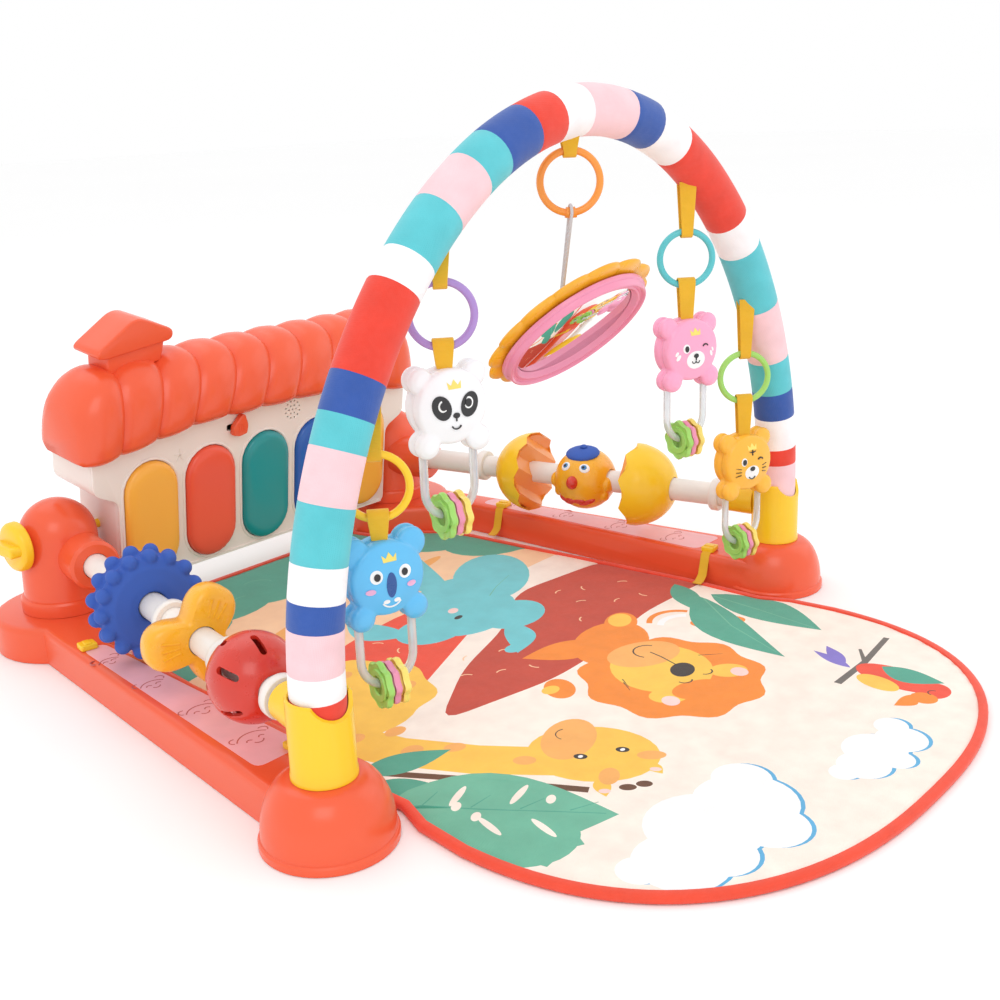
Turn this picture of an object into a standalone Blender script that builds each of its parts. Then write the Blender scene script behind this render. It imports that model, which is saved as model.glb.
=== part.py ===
"""Activity play gym: a toy arch and a kick piano on two side bases, round a padded mat.

Units are metres. The origin is on the underside of the mat, below the top of the arch.
+Y runs from the front of the mat to the piano, +X to the right, +Z up.
"""
import math

import bmesh
import bpy
from mathutils import Matrix, Vector

# ---- driving dimensions -------------------------------------------------------------
GAP = 0.0003                      # clearance between touching pieces

FOOT_X = 0.270                    # half the distance between the front feet
FOOT_R = 0.0443
FOOT_H = 0.0440
RAIL_H = 0.030
RAIL_WALL = 0.003
POST_X = 0.195
POST_Y = 0.425
POST_R = 0.0325
PAD_X = 0.197                     # centre and radius of the round rear end of each base
PAD_R = 0.060
PIVOT_Z = 0.0925                  # height of the piano's pivot and of the lock knobs
PIN_R = 0.0040

SOCKET_R = 0.0212
SOCKET_TOP = 0.098
SHAFT_Z = 0.078
SHAFT_R = 0.0105
SHAFT_BORE = 0.0111
SHAFT_REAR_Y = 0.372
SHAFT_FRONT_Y = 0.026

ARCH_TOP = 0.425                  # height of the arch's centre line
TUBE_R = 0.0150
TUBE_WALL = 0.0020
SLEEVE_R = 0.0175
ARCH_POWER = 1.93                 # a little under an ellipse at the shoulders
ARCH_END = 0.050                  # height of the tube ends, inside the sockets

MAT_T = 0.006
MAT_FRONT = 0.275
MAT_BACK = 0.420
MAT_HALF = 0.237

LEAN = math.radians(8.0)          # the piano leans towards the mat
PANEL_FACE = -0.0350              # the piano's own frame: origin on the pivot axis
PANEL_T = 0.0030
BODY_HALF = 0.1565
SHOULDER_HALF = 0.180
SHOULDER_LOW = 0.042
BODY_LOW = -0.051
BODY_TOP = 0.092
BODY_BACK = 0.030
KEY_PITCH = 0.0625
KEY_HALF = 0.0262
KEY_HEIGHT = 0.1060
KEY_MID = 0.0080
KEY_OUT = 0.0070
KEY_TRAVEL = 0.0030
ROOF_HALF = 0.190
ROOF_RIDGE = 0.148
ROOF_LOBES = 10

RING_R = 0.0205                   # centre line of a hanging ring
RING_WIRE = 0.0025
HEAD_H = 0.052
HOOP_R = 0.0185
HOOP_DROP = 0.046
HOOP_WIRE = 0.0028
RING_YAW = math.radians(-42.0)    # rings and rattles are turned towards the front left
RATTLE_YAW = math.radians(-16.0)

TOYS = {                          # x, height of the ring's centre, ring bottom to head top
    "koala": (-0.212, 0.213, 0.010),
    "panda": (-0.148, 0.308, 0.010),
    "bear": (0.123, 0.312, 0.023),
    "tiger": (0.212, 0.203, 0.026),
}
MIRROR_X = -0.018
MIRROR_RING_Z = 0.379
MIRROR_Z = 0.280
MIRROR_TILT = math.radians(-47.0)
MIRROR_YAW = math.radians(-1.0)

COLOURS = {
    "red": (0.86, 0.11, 0.04), "yellow": (0.97, 0.58, 0.01), "cream": (0.87, 0.80, 0.74),
    "white": (0.90, 0.90, 0.90), "teal": (0.10, 0.50, 0.56), "blue": (0.03, 0.10, 0.42),
    "orange": (0.90, 0.32, 0.02), "pink": (0.85, 0.30, 0.45), "green": (0.36, 0.70, 0.15),
    "purple": (0.42, 0.26, 0.62), "metal": (0.70, 0.70, 0.72), "dark": (0.05, 0.06, 0.05),
    "board": (0.03, 0.22, 0.10),
}


# ---- helpers ------------------------------------------------------------------------
def clear_scene():
    for item in list(bpy.data.objects):
        bpy.data.objects.remove(item, do_unlink=True)


def material(name, colour, roughness=0.35, metallic=0.0):
    mat = bpy.data.materials.new(name)
    mat.use_nodes = True
    shader = mat.node_tree.nodes["Principled BSDF"]
    shader.inputs["Base Color"].default_value = (*COLOURS[colour], 1.0)
    shader.inputs["Roughness"].default_value = roughness
    shader.inputs["Metallic"].default_value = metallic
    return mat


def face_outwards(bm):
    bmesh.ops.recalc_face_normals(bm, faces=bm.faces)
    if bm.calc_volume(signed=True) < 0.0:
        bmesh.ops.reverse_faces(bm, faces=bm.faces)


def add(name, bm, colour=None, roughness=0.35, metallic=0.0, smooth=40.0):
    """Turn a bmesh into an object; a piece without a colour is a cutter."""
    face_outwards(bm)
    mesh = bpy.data.meshes.new(name)
    bm.to_mesh(mesh)
    bm.free()
    obj = bpy.data.objects.new(name, mesh)
    bpy.context.collection.objects.link(obj)
    if colour is None:
        obj.hide_render = True
        obj.display_type = "WIRE"
    else:
        mesh.materials.append(material(name, colour, roughness, metallic))
        mesh.shade_smooth()
        mesh.set_sharp_from_angle(angle=math.radians(smooth))
    return obj


def combine(obj, tool, operation="DIFFERENCE"):
    mod = obj.modifiers.new(tool.name, "BOOLEAN")
    mod.object = tool
    mod.operation = operation
    mod.solver = "EXACT"


def join_into(bm, other, matrix=None):
    """Copy another bmesh into bm, moved by matrix."""
    mesh = bpy.data.meshes.new("join")
    other.to_mesh(mesh)
    other.free()
    if matrix is not None:
        mesh.transform(matrix)
    bm.from_mesh(mesh)
    bpy.data.meshes.remove(mesh)


def shift(x=0.0, y=0.0, z=0.0):
    return Matrix.Translation((x, y, z))


def turn(angle, axis):
    return Matrix.Rotation(angle, 4, axis)


def lathe(profile, steps=20):
    """Turn (radius, height) points about Z; a profile that closes on itself makes a ring."""
    bm = bmesh.new()
    closed = profile[0] == profile[-1]
    points = profile[:-1] if closed else profile
    rings = []
    for radius, height in points:
        if radius < 1e-6:
            rings.append([bm.verts.new((0.0, 0.0, height))])
            continue
        angles = [2.0 * math.pi * i / steps for i in range(steps)]
        rings.append([bm.verts.new((radius * math.cos(a), radius * math.sin(a), height))
                      for a in angles])
    pairs = list(zip(rings, rings[1:]))
    if closed:
        pairs.append((rings[-1], rings[0]))
    for low, high in pairs:
        for i in range(steps):
            j = (i + 1) % steps
            if len(low) == 1:
                bm.faces.new((low[0], high[j], high[i]))
            elif len(high) == 1:
                bm.faces.new((low[i], low[j], high[0]))
            else:
                bm.faces.new((low[i], low[j], high[j], high[i]))
    return bm


def cylinder(radius, low, high, steps=20):
    return lathe([(0.0, low), (radius, low), (radius, high), (0.0, high)], steps)


def tube(radius, bore, low, high, steps=20):
    corners = [(bore, low), (radius, low), (radius, high), (bore, high)]
    return lathe(corners + corners[:1], steps)


def sphere(radius, centre=(0.0, 0.0, 0.0), scale=(1.0, 1.0, 1.0), steps=12):
    bm = bmesh.new()
    bmesh.ops.create_uvsphere(bm, u_segments=steps, v_segments=steps // 2 + 2, radius=radius)
    bmesh.ops.scale(bm, vec=scale, verts=bm.verts)
    bmesh.ops.translate(bm, vec=centre, verts=bm.verts)
    return bm


def box(low, high, bevel=0.0):
    bm = bmesh.new()
    bmesh.ops.create_cube(bm, size=1.0)
    size = [b - a for a, b in zip(low, high)]
    middle = [(a + b) / 2.0 for a, b in zip(low, high)]
    bmesh.ops.scale(bm, vec=size, verts=bm.verts)
    bmesh.ops.translate(bm, vec=middle, verts=bm.verts)
    if bevel:
        bmesh.ops.bevel(bm, geom=bm.edges, offset=bevel, segments=1, affect="EDGES",
                        profile=0.5, material=-1)
    return bm


def extrude(outline, low, high, axis="Z"):
    """Extrude a closed outline; with axis Y the outline is drawn in X and Z."""
    bm = bmesh.new()
    if axis == "Z":
        verts = [bm.verts.new((x, y, low)) for x, y in outline]
        step = (0.0, 0.0, high - low)
    else:
        verts = [bm.verts.new((x, low, z)) for x, z in outline]
        step = (0.0, high - low, 0.0)
    face = bm.faces.new(verts)
    result = bmesh.ops.extrude_face_region(bm, geom=[face], use_keep_orig=True)
    moved = [item for item in result["geom"] if isinstance(item, bmesh.types.BMVert)]
    bmesh.ops.translate(bm, vec=step, verts=moved)
    return bm


def sweep(path, radius, sides=8, bore=0.0, closed=False, up=Vector((0.0, 1.0, 0.0))):
    """A round bar, or a pipe where bore is given, along points lying in one plane normal to up."""
    bm = bmesh.new()
    count = len(path)

    def section(index, size):
        before = path[index - 1] if index > 0 or closed else path[index]
        after = path[(index + 1) % count] if index < count - 1 or closed else path[index]
        along = (after - before).normalized()
        side = along.cross(up).normalized()
        angles = [2.0 * math.pi * i / sides for i in range(sides)]
        return [bm.verts.new(path[index] + side * size * math.cos(a) + up * size * math.sin(a))
                for a in angles]

    def skin(rings):
        pairs = list(zip(rings, rings[1:]))
        if closed:
            pairs.append((rings[-1], rings[0]))
        for low, high in pairs:
            for i in range(sides):
                j = (i + 1) % sides
                bm.faces.new((low[i], low[j], high[j], high[i]))

    outer = [section(i, radius) for i in range(count)]
    skin(outer)
    if bore:
        inner = [section(i, bore) for i in range(count)]
        skin(inner)
        for a, b in ((outer[0], inner[0]), (outer[-1], inner[-1])):
            for i in range(sides):
                j = (i + 1) % sides
                bm.faces.new((a[i], a[j], b[j], b[i]))
    elif not closed:
        bm.faces.new(outer[0])
        bm.faces.new(outer[-1])
    return bm


def stadium(half_width, half_height, steps=6, x=0.0, z=0.0):
    """An upright oval outline with straight sides."""
    points = []
    for middle, start in ((half_height - half_width, 0.0), (half_width - half_height, math.pi)):
        for i in range(steps + 1):
            angle = start + math.pi * i / steps
            height = z + middle + half_width * math.sin(angle)
            points.append((x + half_width * math.cos(angle), height))
    return points


def empty(name, matrix, parent=None):
    item = bpy.data.objects.new(name, None)
    bpy.context.collection.objects.link(item)
    item.parent = parent
    item.matrix_basis = matrix
    return item


def seat(obj, parent):
    obj.parent = parent
    return obj


# ---- bases, posts, sockets, shafts --------------------------------------------------
def shaft_frame(side, y):
    """A frame on the slanted spinner shaft at the given y, its Z along the shaft to the rear."""
    rear = Vector((side * 0.190, 0.405, SHAFT_Z))
    front = Vector((side * FOOT_X, 0.0, SHAFT_Z))
    along = (rear - front).normalized()
    point = front + (rear - front) * (y / 0.405)
    return Matrix.Translation(point) @ along.to_track_quat("Z", "Y").to_matrix().to_4x4()


def base_outline(side, inset=0.0):
    """Plan of one side base: a slim rail from the foot, ending in a round pad under the post."""
    points = [(0.230 + inset, 0.0 + inset), (0.219 + inset, 0.330)]
    for degrees in range(228, 228 - 271, -30):
        angle = math.radians(degrees)
        radius = PAD_R - inset
        points.append((PAD_X + radius * math.cos(angle), POST_Y + radius * math.sin(angle)))
    points.append((0.294 - inset, 0.0 + inset))
    return [(side * x, y) for x, y in points]


def make_base(side, label):
    bm = extrude(base_outline(side), 0.0, RAIL_H)
    top = [e for e in bm.edges if all(v.co.z > RAIL_H - 1e-6 for v in e.verts)]
    bmesh.ops.bevel(bm, geom=top, offset=0.005, segments=1, affect="EDGES", profile=0.5, material=-1)
    base = add(f"{label}_base", bm, "red", 0.3)
    dome = [(0.0, 0.0), (FOOT_R, 0.0)]
    for i in range(5):
        angle = math.radians(18.0 * i)
        dome.append((0.024 + (FOOT_R - 0.024) * math.cos(angle),
                     0.006 + (FOOT_H - 0.006) * math.sin(angle)))
    dome.append((0.024, FOOT_H))
    dome.append((0.0, FOOT_H))
    foot = lathe(dome)
    bmesh.ops.translate(foot, vec=(side * FOOT_X, 0.0, 0.0), verts=foot.verts)
    combine(base, add(f"cut_{label}_foot", foot), "UNION")
    hollow = extrude(base_outline(side, RAIL_WALL), -0.010, RAIL_H - RAIL_WALL)
    combine(base, add(f"cut_{label}_hollow", hollow))


def make_post(side, label):
    low = RAIL_H + GAP
    profile = [(0.0, low), (0.0375, low), (0.0375, 0.041), (0.0340, 0.046), (POST_R, PIVOT_Z)]
    for degrees in (30, 60):
        angle = math.radians(degrees)
        profile.append((POST_R * math.cos(angle), PIVOT_Z + POST_R * math.sin(angle)))
    profile.append((0.0, PIVOT_Z + POST_R))
    bm = lathe(profile)
    bmesh.ops.translate(bm, vec=(side * POST_X, POST_Y, 0.0), verts=bm.verts)
    post = add(f"{label}_post", bm, "red", 0.3)
    frame = shaft_frame(side, 0.385)
    arm = cylinder(0.0210, -0.022, 0.020)
    arm.transform(frame)
    combine(post, add(f"cut_{label}_arm", arm, None), "UNION")
    holes = cylinder(SHAFT_R + GAP, -0.030, -0.012)
    holes.transform(frame)
    across = cylinder(PIN_R + GAP, -0.050, 0.050, 12)
    place = shift(side * POST_X, POST_Y, PIVOT_Z) @ turn(math.pi / 2.0, "Y")
    join_into(holes, across, place)
    combine(post, add(f"cut_{label}_post_holes", holes))


def make_socket(side, label):
    low = FOOT_H + GAP
    profile = [(0.0, low), (SOCKET_R, low), (SOCKET_R, SOCKET_TOP), (TUBE_R + GAP, SOCKET_TOP),
               (TUBE_R + GAP, ARCH_END - GAP), (0.0, ARCH_END - GAP)]
    bm = lathe(profile)
    bmesh.ops.translate(bm, vec=(side * FOOT_X, 0.0, 0.0), verts=bm.verts)
    socket = add(f"{label}_socket", bm, "yellow", 0.35)
    boss = cylinder(0.0135, 0.0, 0.024)
    boss.transform(shaft_frame(side, 0.0175))
    combine(socket, add(f"cut_{label}_boss", boss), "UNION")
    hole = cylinder(SHAFT_R + GAP, 0.0, 0.030)
    hole.transform(shaft_frame(side, SHAFT_FRONT_Y - 0.001))
    combine(socket, add(f"cut_{label}_boss_hole", hole))


def make_shaft(side, label):
    start = shaft_frame(side, SHAFT_FRONT_Y)
    end = shaft_frame(side, SHAFT_REAR_Y).translation
    length = (end - start.translation).length
    shaft = add(f"{label}_shaft", tube(SHAFT_R, 0.0085, 0.0, length), "white", 0.4)
    shaft.matrix_basis = start


# ---- mat and arch -------------------------------------------------------------------
def mat_outline():
    """Right half from the front middle to the back middle, then mirrored."""
    points = []
    for i in range(11):
        angle = math.radians(-90.0 + 9.0 * i)
        x = MAT_HALF * abs(math.cos(angle)) ** 0.8
        y = -0.080 - (MAT_FRONT - 0.080) * abs(math.sin(angle)) ** 0.87
        points.append((x, y))
    points += [(0.2325, -0.040), (0.2225, -0.015), (0.2220, 0.060), (0.1960, 0.330)]
    for degrees in range(249, 179, -23):
        angle = math.radians(degrees)
        reach = PAD_R + 0.004
        points.append((PAD_X + reach * math.cos(angle), POST_Y - 0.002 + reach * math.sin(angle)))
    left = [(-x, y) for x, y in reversed(points[1:])]
    return points + left


def make_mat():
    add("mat", extrude(mat_outline(), 0.0, MAT_T), "cream", 0.9)


def arch_point(t):
    """Point of the arch's centre line, a slightly slack superellipse."""
    rise = ARCH_TOP - SOCKET_TOP
    across = math.copysign(abs(math.cos(t)) ** (2.0 / ARCH_POWER), math.cos(t))
    up = max(math.sin(t), 0.0) ** (2.0 / ARCH_POWER)
    return Vector((FOOT_X * across, 0.0, SOCKET_TOP + rise * up))


def make_arch():
    steps = 24
    middle = [arch_point(math.pi * i / steps) for i in range(steps + 1)]
    right = Vector((FOOT_X, 0.0, ARCH_END))
    left = Vector((-FOOT_X, 0.0, ARCH_END))
    pipe = sweep([right] + middle + [left], TUBE_R, 10, TUBE_R - TUBE_WALL)
    add("arch_tube", pipe, "white", 0.4)
    rise = Vector((0.0, 0.0, 0.001))
    whole = [right + rise] + [middle[0] + rise] + middle[1:-1] + [middle[-1] + rise] + [left + rise]
    cloth = sweep(whole, SLEEVE_R, 10, TUBE_R + GAP)
    sleeve = add("arch_sleeve", cloth, "teal", 0.9)
    below = box((-0.4, -0.1, -0.1), (0.4, 0.1, SOCKET_TOP + GAP))
    combine(sleeve, add("cut_sleeve_ends", below))
    tabs = bmesh.new()
    rings = [toy[:2] for toy in TOYS.values()] + [(MIRROR_X, MIRROR_RING_Z)]
    for x, ring_z in rings:
        join_into(tabs, tab_loop(x, ring_z))
    tool = add("cut_tabs", tabs)
    combine(tool, add("cut_tab_tops", sweep(middle, TUBE_R + 0.0008, 10)))
    combine(sleeve, tool, "UNION")


def arch_underside(x):
    """Height of the sleeve's lower side straight above x."""
    part = abs(x) / FOOT_X
    root = (1.0 - part ** ARCH_POWER) ** (1.0 / ARCH_POWER)
    rise = ARCH_TOP - SOCKET_TOP
    slope = rise / FOOT_X * (part / root) ** (ARCH_POWER - 1.0)
    return SOCKET_TOP + rise * root - SLEEVE_R * math.hypot(1.0, slope)


def tab_loop(x, ring_z):
    """A sewn webbing loop that hangs from the sleeve and holds a ring's top in its eye."""
    ring_top = ring_z + RING_R
    low = ring_top - 0.0062
    high = arch_underside(x) + 0.010
    half = 0.0048
    outline = [(-half, high), (-half, low + 0.003), (0.0, low), (half, low + 0.003), (half, high)]
    eye_top = ring_top + 0.006
    eye = [(half - 0.0012, eye_top), (half - 0.0012, low + 0.0036), (0.0, low + 0.0012),
           (0.0012 - half, low + 0.0036), (0.0012 - half, eye_top)]
    bm = bmesh.new()
    width = 0.0045
    layers = []
    for y in (-width, width):
        layers.append(([bm.verts.new((a, y, b)) for a, b in outline],
                       [bm.verts.new((a, y, b)) for a, b in eye]))
    (outer_a, eye_a), (outer_b, eye_b) = layers
    for i in range(5):
        j = (i + 1) % 5
        bm.faces.new((outer_a[i], outer_a[j], outer_b[j], outer_b[i]))
        bm.faces.new((eye_a[i], eye_a[j], eye_b[j], eye_b[i]))
    for outer, hole in layers:
        ring = [0, 1, 2, 3, 4]
        inner = [4, 3, 2, 1, 0]
        for k in range(4):
            a, b = ring[k], ring[k + 1]
            bm.faces.new((outer[a], outer[b], hole[inner[k + 1]], hole[inner[k]]))
        bm.faces.new((outer[4], outer[0], hole[4], hole[0]))
    face_outwards(bm)
    bm.transform(shift(x, 0.0, 0.0) @ turn(RING_YAW + math.pi / 2.0, "Z"))
    return bm


# ---- piano --------------------------------------------------------------------------
def body_outline(inset=0.0, top=BODY_TOP):
    """Front view of the piano's body: narrow between the posts, with shoulders above them."""
    half = BODY_HALF - inset
    wide = SHOULDER_HALF - inset
    right = [(half, BODY_LOW + inset), (half, 0.030 + inset),
             (wide, SHOULDER_LOW + inset), (wide, top)]
    return right + [(-x, z) for x, z in reversed(right)]


def key_x(index):
    return (index - 2) * KEY_PITCH


def make_panel(piano):
    panel = add("front_panel", extrude(body_outline(), PANEL_FACE, PANEL_FACE + PANEL_T, "Y"), "cream")
    cuts = bmesh.new()
    low, high = PANEL_FACE - 0.005, PANEL_FACE + PANEL_T + 0.005
    for index in range(5):
        outline = stadium(KEY_HALF + 0.0006, KEY_HEIGHT / 2.0 + 0.0006, 6, key_x(index), KEY_MID)
        join_into(cuts, extrude(outline, low, high, "Y"))
    join_into(cuts, box((-0.0430, low, 0.0700), (-0.0190, high, 0.0760)))
    for i in range(6):
        angle = math.radians(60.0 * i)
        hole = cylinder(0.0012, low, high, 6)
        place = turn(-math.pi / 2.0, "X")
        spot = shift(0.0335 + 0.006 * math.cos(angle), 0.0, 0.0770 + 0.006 * math.sin(angle))
        join_into(cuts, hole, spot @ place)
    combine(panel, seat(add("cut_panel", cuts), piano))
    seat(panel, piano)


def make_shell(piano):
    low = PANEL_FACE + PANEL_T + GAP
    shell = add("rear_shell", extrude(body_outline(), low, BODY_BACK, "Y"), "cream", 0.4)
    hollow = extrude(body_outline(0.0025, BODY_TOP - 0.0025), low - 0.010, BODY_BACK - 0.0025, "Y")
    combine(shell, seat(add("cut_shell_hollow", hollow), piano))
    holes = box((-0.0350, BODY_BACK - 0.010, -0.0400), (0.0350, BODY_BACK + 0.010, 0.0200))
    for side in (-1, 1):
        pin = cylinder(PIN_R + GAP, -0.010, 0.010, 12)
        join_into(holes, pin, shift(side * (BODY_HALF - 0.001), 0.0, 0.0) @ turn(math.pi / 2.0, "Y"))
    combine(shell, seat(add("cut_shell_holes", holes), piano))
    seat(shell, piano)
    door = extrude([(-0.0345, -0.0395), (0.0345, -0.0395), (0.0345, 0.0195), (-0.0345, 0.0195)],
                   BODY_BACK - 0.0022, BODY_BACK, "Y")
    seat(add("battery_door", door, "cream", 0.4), piano)
    seat(add("battery_pack", box((-0.028, 0.010, -0.035), (0.028, 0.0265, 0.015), 0.003), "dark"), piano)
    board = box((-0.150, -0.0160, -0.045), (0.150, -0.0144, 0.055))
    seat(add("circuit_board", board, "board", 0.5), piano)
    speaker = cylinder(0.0125, 0.0, 0.012, 16)
    speaker.transform(shift(0.0335, PANEL_FACE + PANEL_T + GAP, 0.0740) @ turn(-math.pi / 2.0, "X"))
    seat(add("speaker", speaker, "metal", 0.4, 0.8), piano)


def make_keys(piano):
    colours = ("orange", "red", "teal", "blue", "orange")
    for index in range(5):
        bm = bmesh.new()
        rings = []
        half_height = KEY_HEIGHT / 2.0
        back = PANEL_FACE + PANEL_T
        levels = ((0.0018, back + 0.0022), (0.0018, back + 0.0006), (0.0, back + 0.0006),
                  (0.0, PANEL_FACE - KEY_OUT * 0.45), (-0.006, PANEL_FACE - KEY_OUT))
        for grow, y in levels:
            outline = stadium(KEY_HALF + grow, half_height + grow, 6, key_x(index), KEY_MID)
            rings.append([bm.verts.new((x, y, z)) for x, z in outline])
        for low, high in zip(rings, rings[1:]):
            for i in range(len(low)):
                j = (i + 1) % len(low)
                bm.faces.new((low[i], low[j], high[j], high[i]))
        bm.faces.new(rings[0])
        bm.faces.new(rings[-1])
        seat(add(f"key_{index + 1}", bm, colours[index], 0.3), piano)
    head = box((-0.0380, PANEL_FACE - 0.0065, 0.0650), (-0.0240, PANEL_FACE - 0.0004, 0.0820))
    stem = box((-0.0340, PANEL_FACE - 0.0010, 0.0712), (-0.0280, PANEL_FACE + 0.0050, 0.0748))
    knob = seat(add("mode_slider", head, "red"), piano)
    combine(knob, seat(add("cut_slider_stem", stem), piano), "UNION")


def roof_section(scale, tall, grow=0.0):
    """Roof cross-section (depth, height) from the front eave over the ridge to the back eave."""
    front, back = -0.0500, 0.0400
    middle = (front + back) / 2.0
    half = (back - front) / 2.0 + grow
    low = BODY_TOP + 0.004
    rise = ROOF_RIDGE - low + grow
    section = []
    for degrees in range(-25, 206, 23):
        angle = math.radians(degrees)
        y = middle - half * scale * math.cos(angle)
        section.append((y, low + rise * tall * max(math.sin(angle), -0.25)))
    return section


def loft_roof(grow, half, skirt):
    bm = bmesh.new()
    count = ROOF_LOBES * 2
    rings = []
    for i in range(count + 1):
        x = -half + 2.0 * half * i / count
        scale = 1.0 if i % 2 else 0.93
        end = abs(x) / half
        scale *= 1.0 - 0.10 * max(0.0, end - 0.85) / 0.15
        tall = scale * (1.0 - 0.26 * max(0.0, (end - 0.70) / 0.30) ** 2)
        section = roof_section(scale, tall, grow)
        drop = skirt * max(0.0, (end - 0.35) / 0.65)
        first_y, first_z = section[0]
        section[0] = (first_y, first_z - drop)
        last_y, last_z = section[-1]
        section[-1] = (last_y, last_z - drop)
        rings.append([bm.verts.new((x, y, z)) for y, z in section])
    for low, high in zip(rings, rings[1:]):
        for i in range(len(low)):
            j = (i + 1) % len(low)
            bm.faces.new((low[i], low[j], high[j], high[i]))
    bm.faces.new(rings[0])
    bm.faces.new(rings[-1])
    return bm


def make_roof(piano):
    roof = add("roof", loft_roof(0.0, ROOF_HALF, 0.012), "red", 0.3)
    hollow = loft_roof(-0.0035, ROOF_HALF - 0.004, 0.012)
    low = [v for v in hollow.verts if v.co.z < BODY_TOP + 0.006]
    bmesh.ops.translate(hollow, vec=(0.0, 0.0, -0.030), verts=low)
    combine(roof, seat(add("cut_roof", hollow), piano))
    seat(roof, piano)
    seat_z = ROOF_RIDGE + GAP
    outline = [(-0.152, seat_z), (-0.096, seat_z), (-0.086, 0.1640), (-0.090, 0.1720),
               (-0.118, 0.1830), (-0.128, 0.1790), (-0.162, 0.1560), (-0.160, seat_z)]
    stack = extrude(outline, -0.022, 0.016, "Y")
    seat(add("chimney", stack, "red", 0.3), piano)


def make_knobs():
    for side, label in ((-1, "left"), (1, "right")):
        cap = POST_R + 0.0016
        inside = -(POST_X - BODY_HALF + 0.004)
        bm = lathe([(0.0, inside), (PIN_R, inside), (PIN_R, cap), (0.0200, cap), (0.0200, cap + 0.007),
                    (0.0160, cap + 0.010), (0.0, cap + 0.010)], 20)
        knob = add(f"{label}_knob", bm, "yellow")
        wing = box((-0.0045, -0.0175, cap + 0.004), (0.0045, 0.0175, cap + 0.019), 0.002)
        wing_tool = add(f"cut_{label}_wing", wing)
        combine(knob, wing_tool, "UNION")
        frame = shift(side * POST_X, POST_Y, PIVOT_Z) @ turn(side * math.pi / 2.0, "Y")
        knob.matrix_basis = frame
        wing_tool.matrix_basis = frame


def make_piano():
    place = shift(0.0, POST_Y, PIVOT_Z) @ turn(LEAN, "X")
    piano = empty("piano_pivot", place)
    make_panel(piano)
    make_shell(piano)
    make_keys(piano)
    make_roof(piano)
    make_knobs()


# ---- spinners -----------------------------------------------------------------------
def spin_star(name, colour, frame, radius, dip, lobes, half, bore):
    """A lobed wheel with a bore; the lobes follow a cosine."""
    steps = lobes * (4 if lobes > 4 else 8)
    bm = bmesh.new()
    edge = half * 0.55
    layers = ((bore, -half), (0.75, -half), (1.0, -edge), (1.0, edge), (0.75, half), (bore, half))
    rings = []
    for size, z in layers:
        ring = []
        for i in range(steps):
            angle = 2.0 * math.pi * i / steps
            wave = radius * (1.0 - dip * (0.5 - 0.5 * math.cos(lobes * angle)))
            reach = bore if size == bore else wave * size
            ring.append(bm.verts.new((reach * math.cos(angle), reach * math.sin(angle), z)))
        rings.append(ring)
    for low, high in zip(rings, rings[1:] + rings[:1]):
        for i in range(steps):
            j = (i + 1) % steps
            bm.faces.new((low[i], low[j], high[j], high[i]))
    obj = add(name, bm, colour)
    obj.matrix_basis = frame
    return obj


def make_slotted_ball(frame):
    radius, wall = 0.0310, 0.0028
    outer = []
    inner = []
    for degrees in range(-66, 67, 22):
        angle = math.radians(degrees)
        outer.append((radius * math.cos(angle), radius * math.sin(angle)))
        inner.append(((radius - wall) * math.cos(angle), (radius - wall) * math.sin(angle)))
    cap_z = outer[-1][1]
    profile = [(SHAFT_BORE, -cap_z)] + outer + [(SHAFT_BORE, cap_z), (SHAFT_BORE, cap_z - wall)]
    profile += list(reversed(inner)) + [(SHAFT_BORE, wall - cap_z)]
    ball = add("slotted_ball", lathe(profile + profile[:1], 16), "red", 0.25)
    slots = bmesh.new()
    for i in range(6):
        for z in (-0.0115, 0.0115):
            slot = box((0.018, -0.0018, -0.0065), (0.040, 0.0018, 0.0065))
            around = turn(2.0 * math.pi * (i + 0.5 * (z > 0)) / 6, "Z")
            join_into(slots, slot, around @ shift(0.0, 0.0, z))
    cutter = add("cut_ball_slots", slots)
    combine(ball, cutter)
    ball.matrix_basis = frame
    cutter.matrix_basis = frame
    bead = add("steel_ball", sphere(0.0068, (0.0, -0.0196, 0.0), steps=10), "metal", 0.2, 1.0)
    bead.matrix_basis = shaft_frame(-1, 0.086)


def make_eggshell(name, frame, direction):
    """Half an eggshell, its pole on the shaft and its rim towards the chick."""
    radius, wall, length = 0.0395, 0.0025, 0.0420
    outer = []
    inner = []
    for i in range(6):
        angle = math.radians(20.0 + 14.0 * i)
        outer.append((radius * math.sin(angle), length * math.cos(angle)))
        angle = math.radians(26.0 + 12.8 * i)
        inner.append(((radius - wall) * math.sin(angle), (length - wall) * math.cos(angle)))
    top = outer[0][1]
    profile = [(SHAFT_BORE, top)] + outer + list(reversed(inner))
    profile += [(0.0150, inner[0][1]), (0.0150, top - 0.014), (SHAFT_BORE, top - 0.014)]
    profile = [(r, direction * z) for r, z in profile]
    shell = add(name, lathe(profile + profile[:1], 16), "yellow", 0.3)
    shell.matrix_basis = frame


def make_chick(frame):
    points = [(SHAFT_BORE, -0.0270)]
    for degrees in range(-60, 61, 20):
        angle = math.radians(degrees)
        points.append((0.0300 * math.cos(angle), 0.0300 * math.sin(angle)))
    points.append((SHAFT_BORE, 0.0270))
    chick = add("chick", lathe(points + points[:1], 16), "yellow", 0.3)
    chick.matrix_basis = frame


def make_spinners():
    spin_star("spiky_ring", "blue", shaft_frame(-1, 0.262), 0.0440, 0.10, 7, 0.0170, SHAFT_BORE)
    spin_star("propeller", "yellow", shaft_frame(-1, 0.172), 0.0400, 0.58, 3, 0.0120, SHAFT_BORE)
    make_slotted_ball(shaft_frame(-1, 0.086))
    make_eggshell("egg_rear", shaft_frame(1, 0.240), 1.0)
    make_chick(shaft_frame(1, 0.187))
    make_eggshell("egg_front", shaft_frame(1, 0.136), -1.0)


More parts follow.
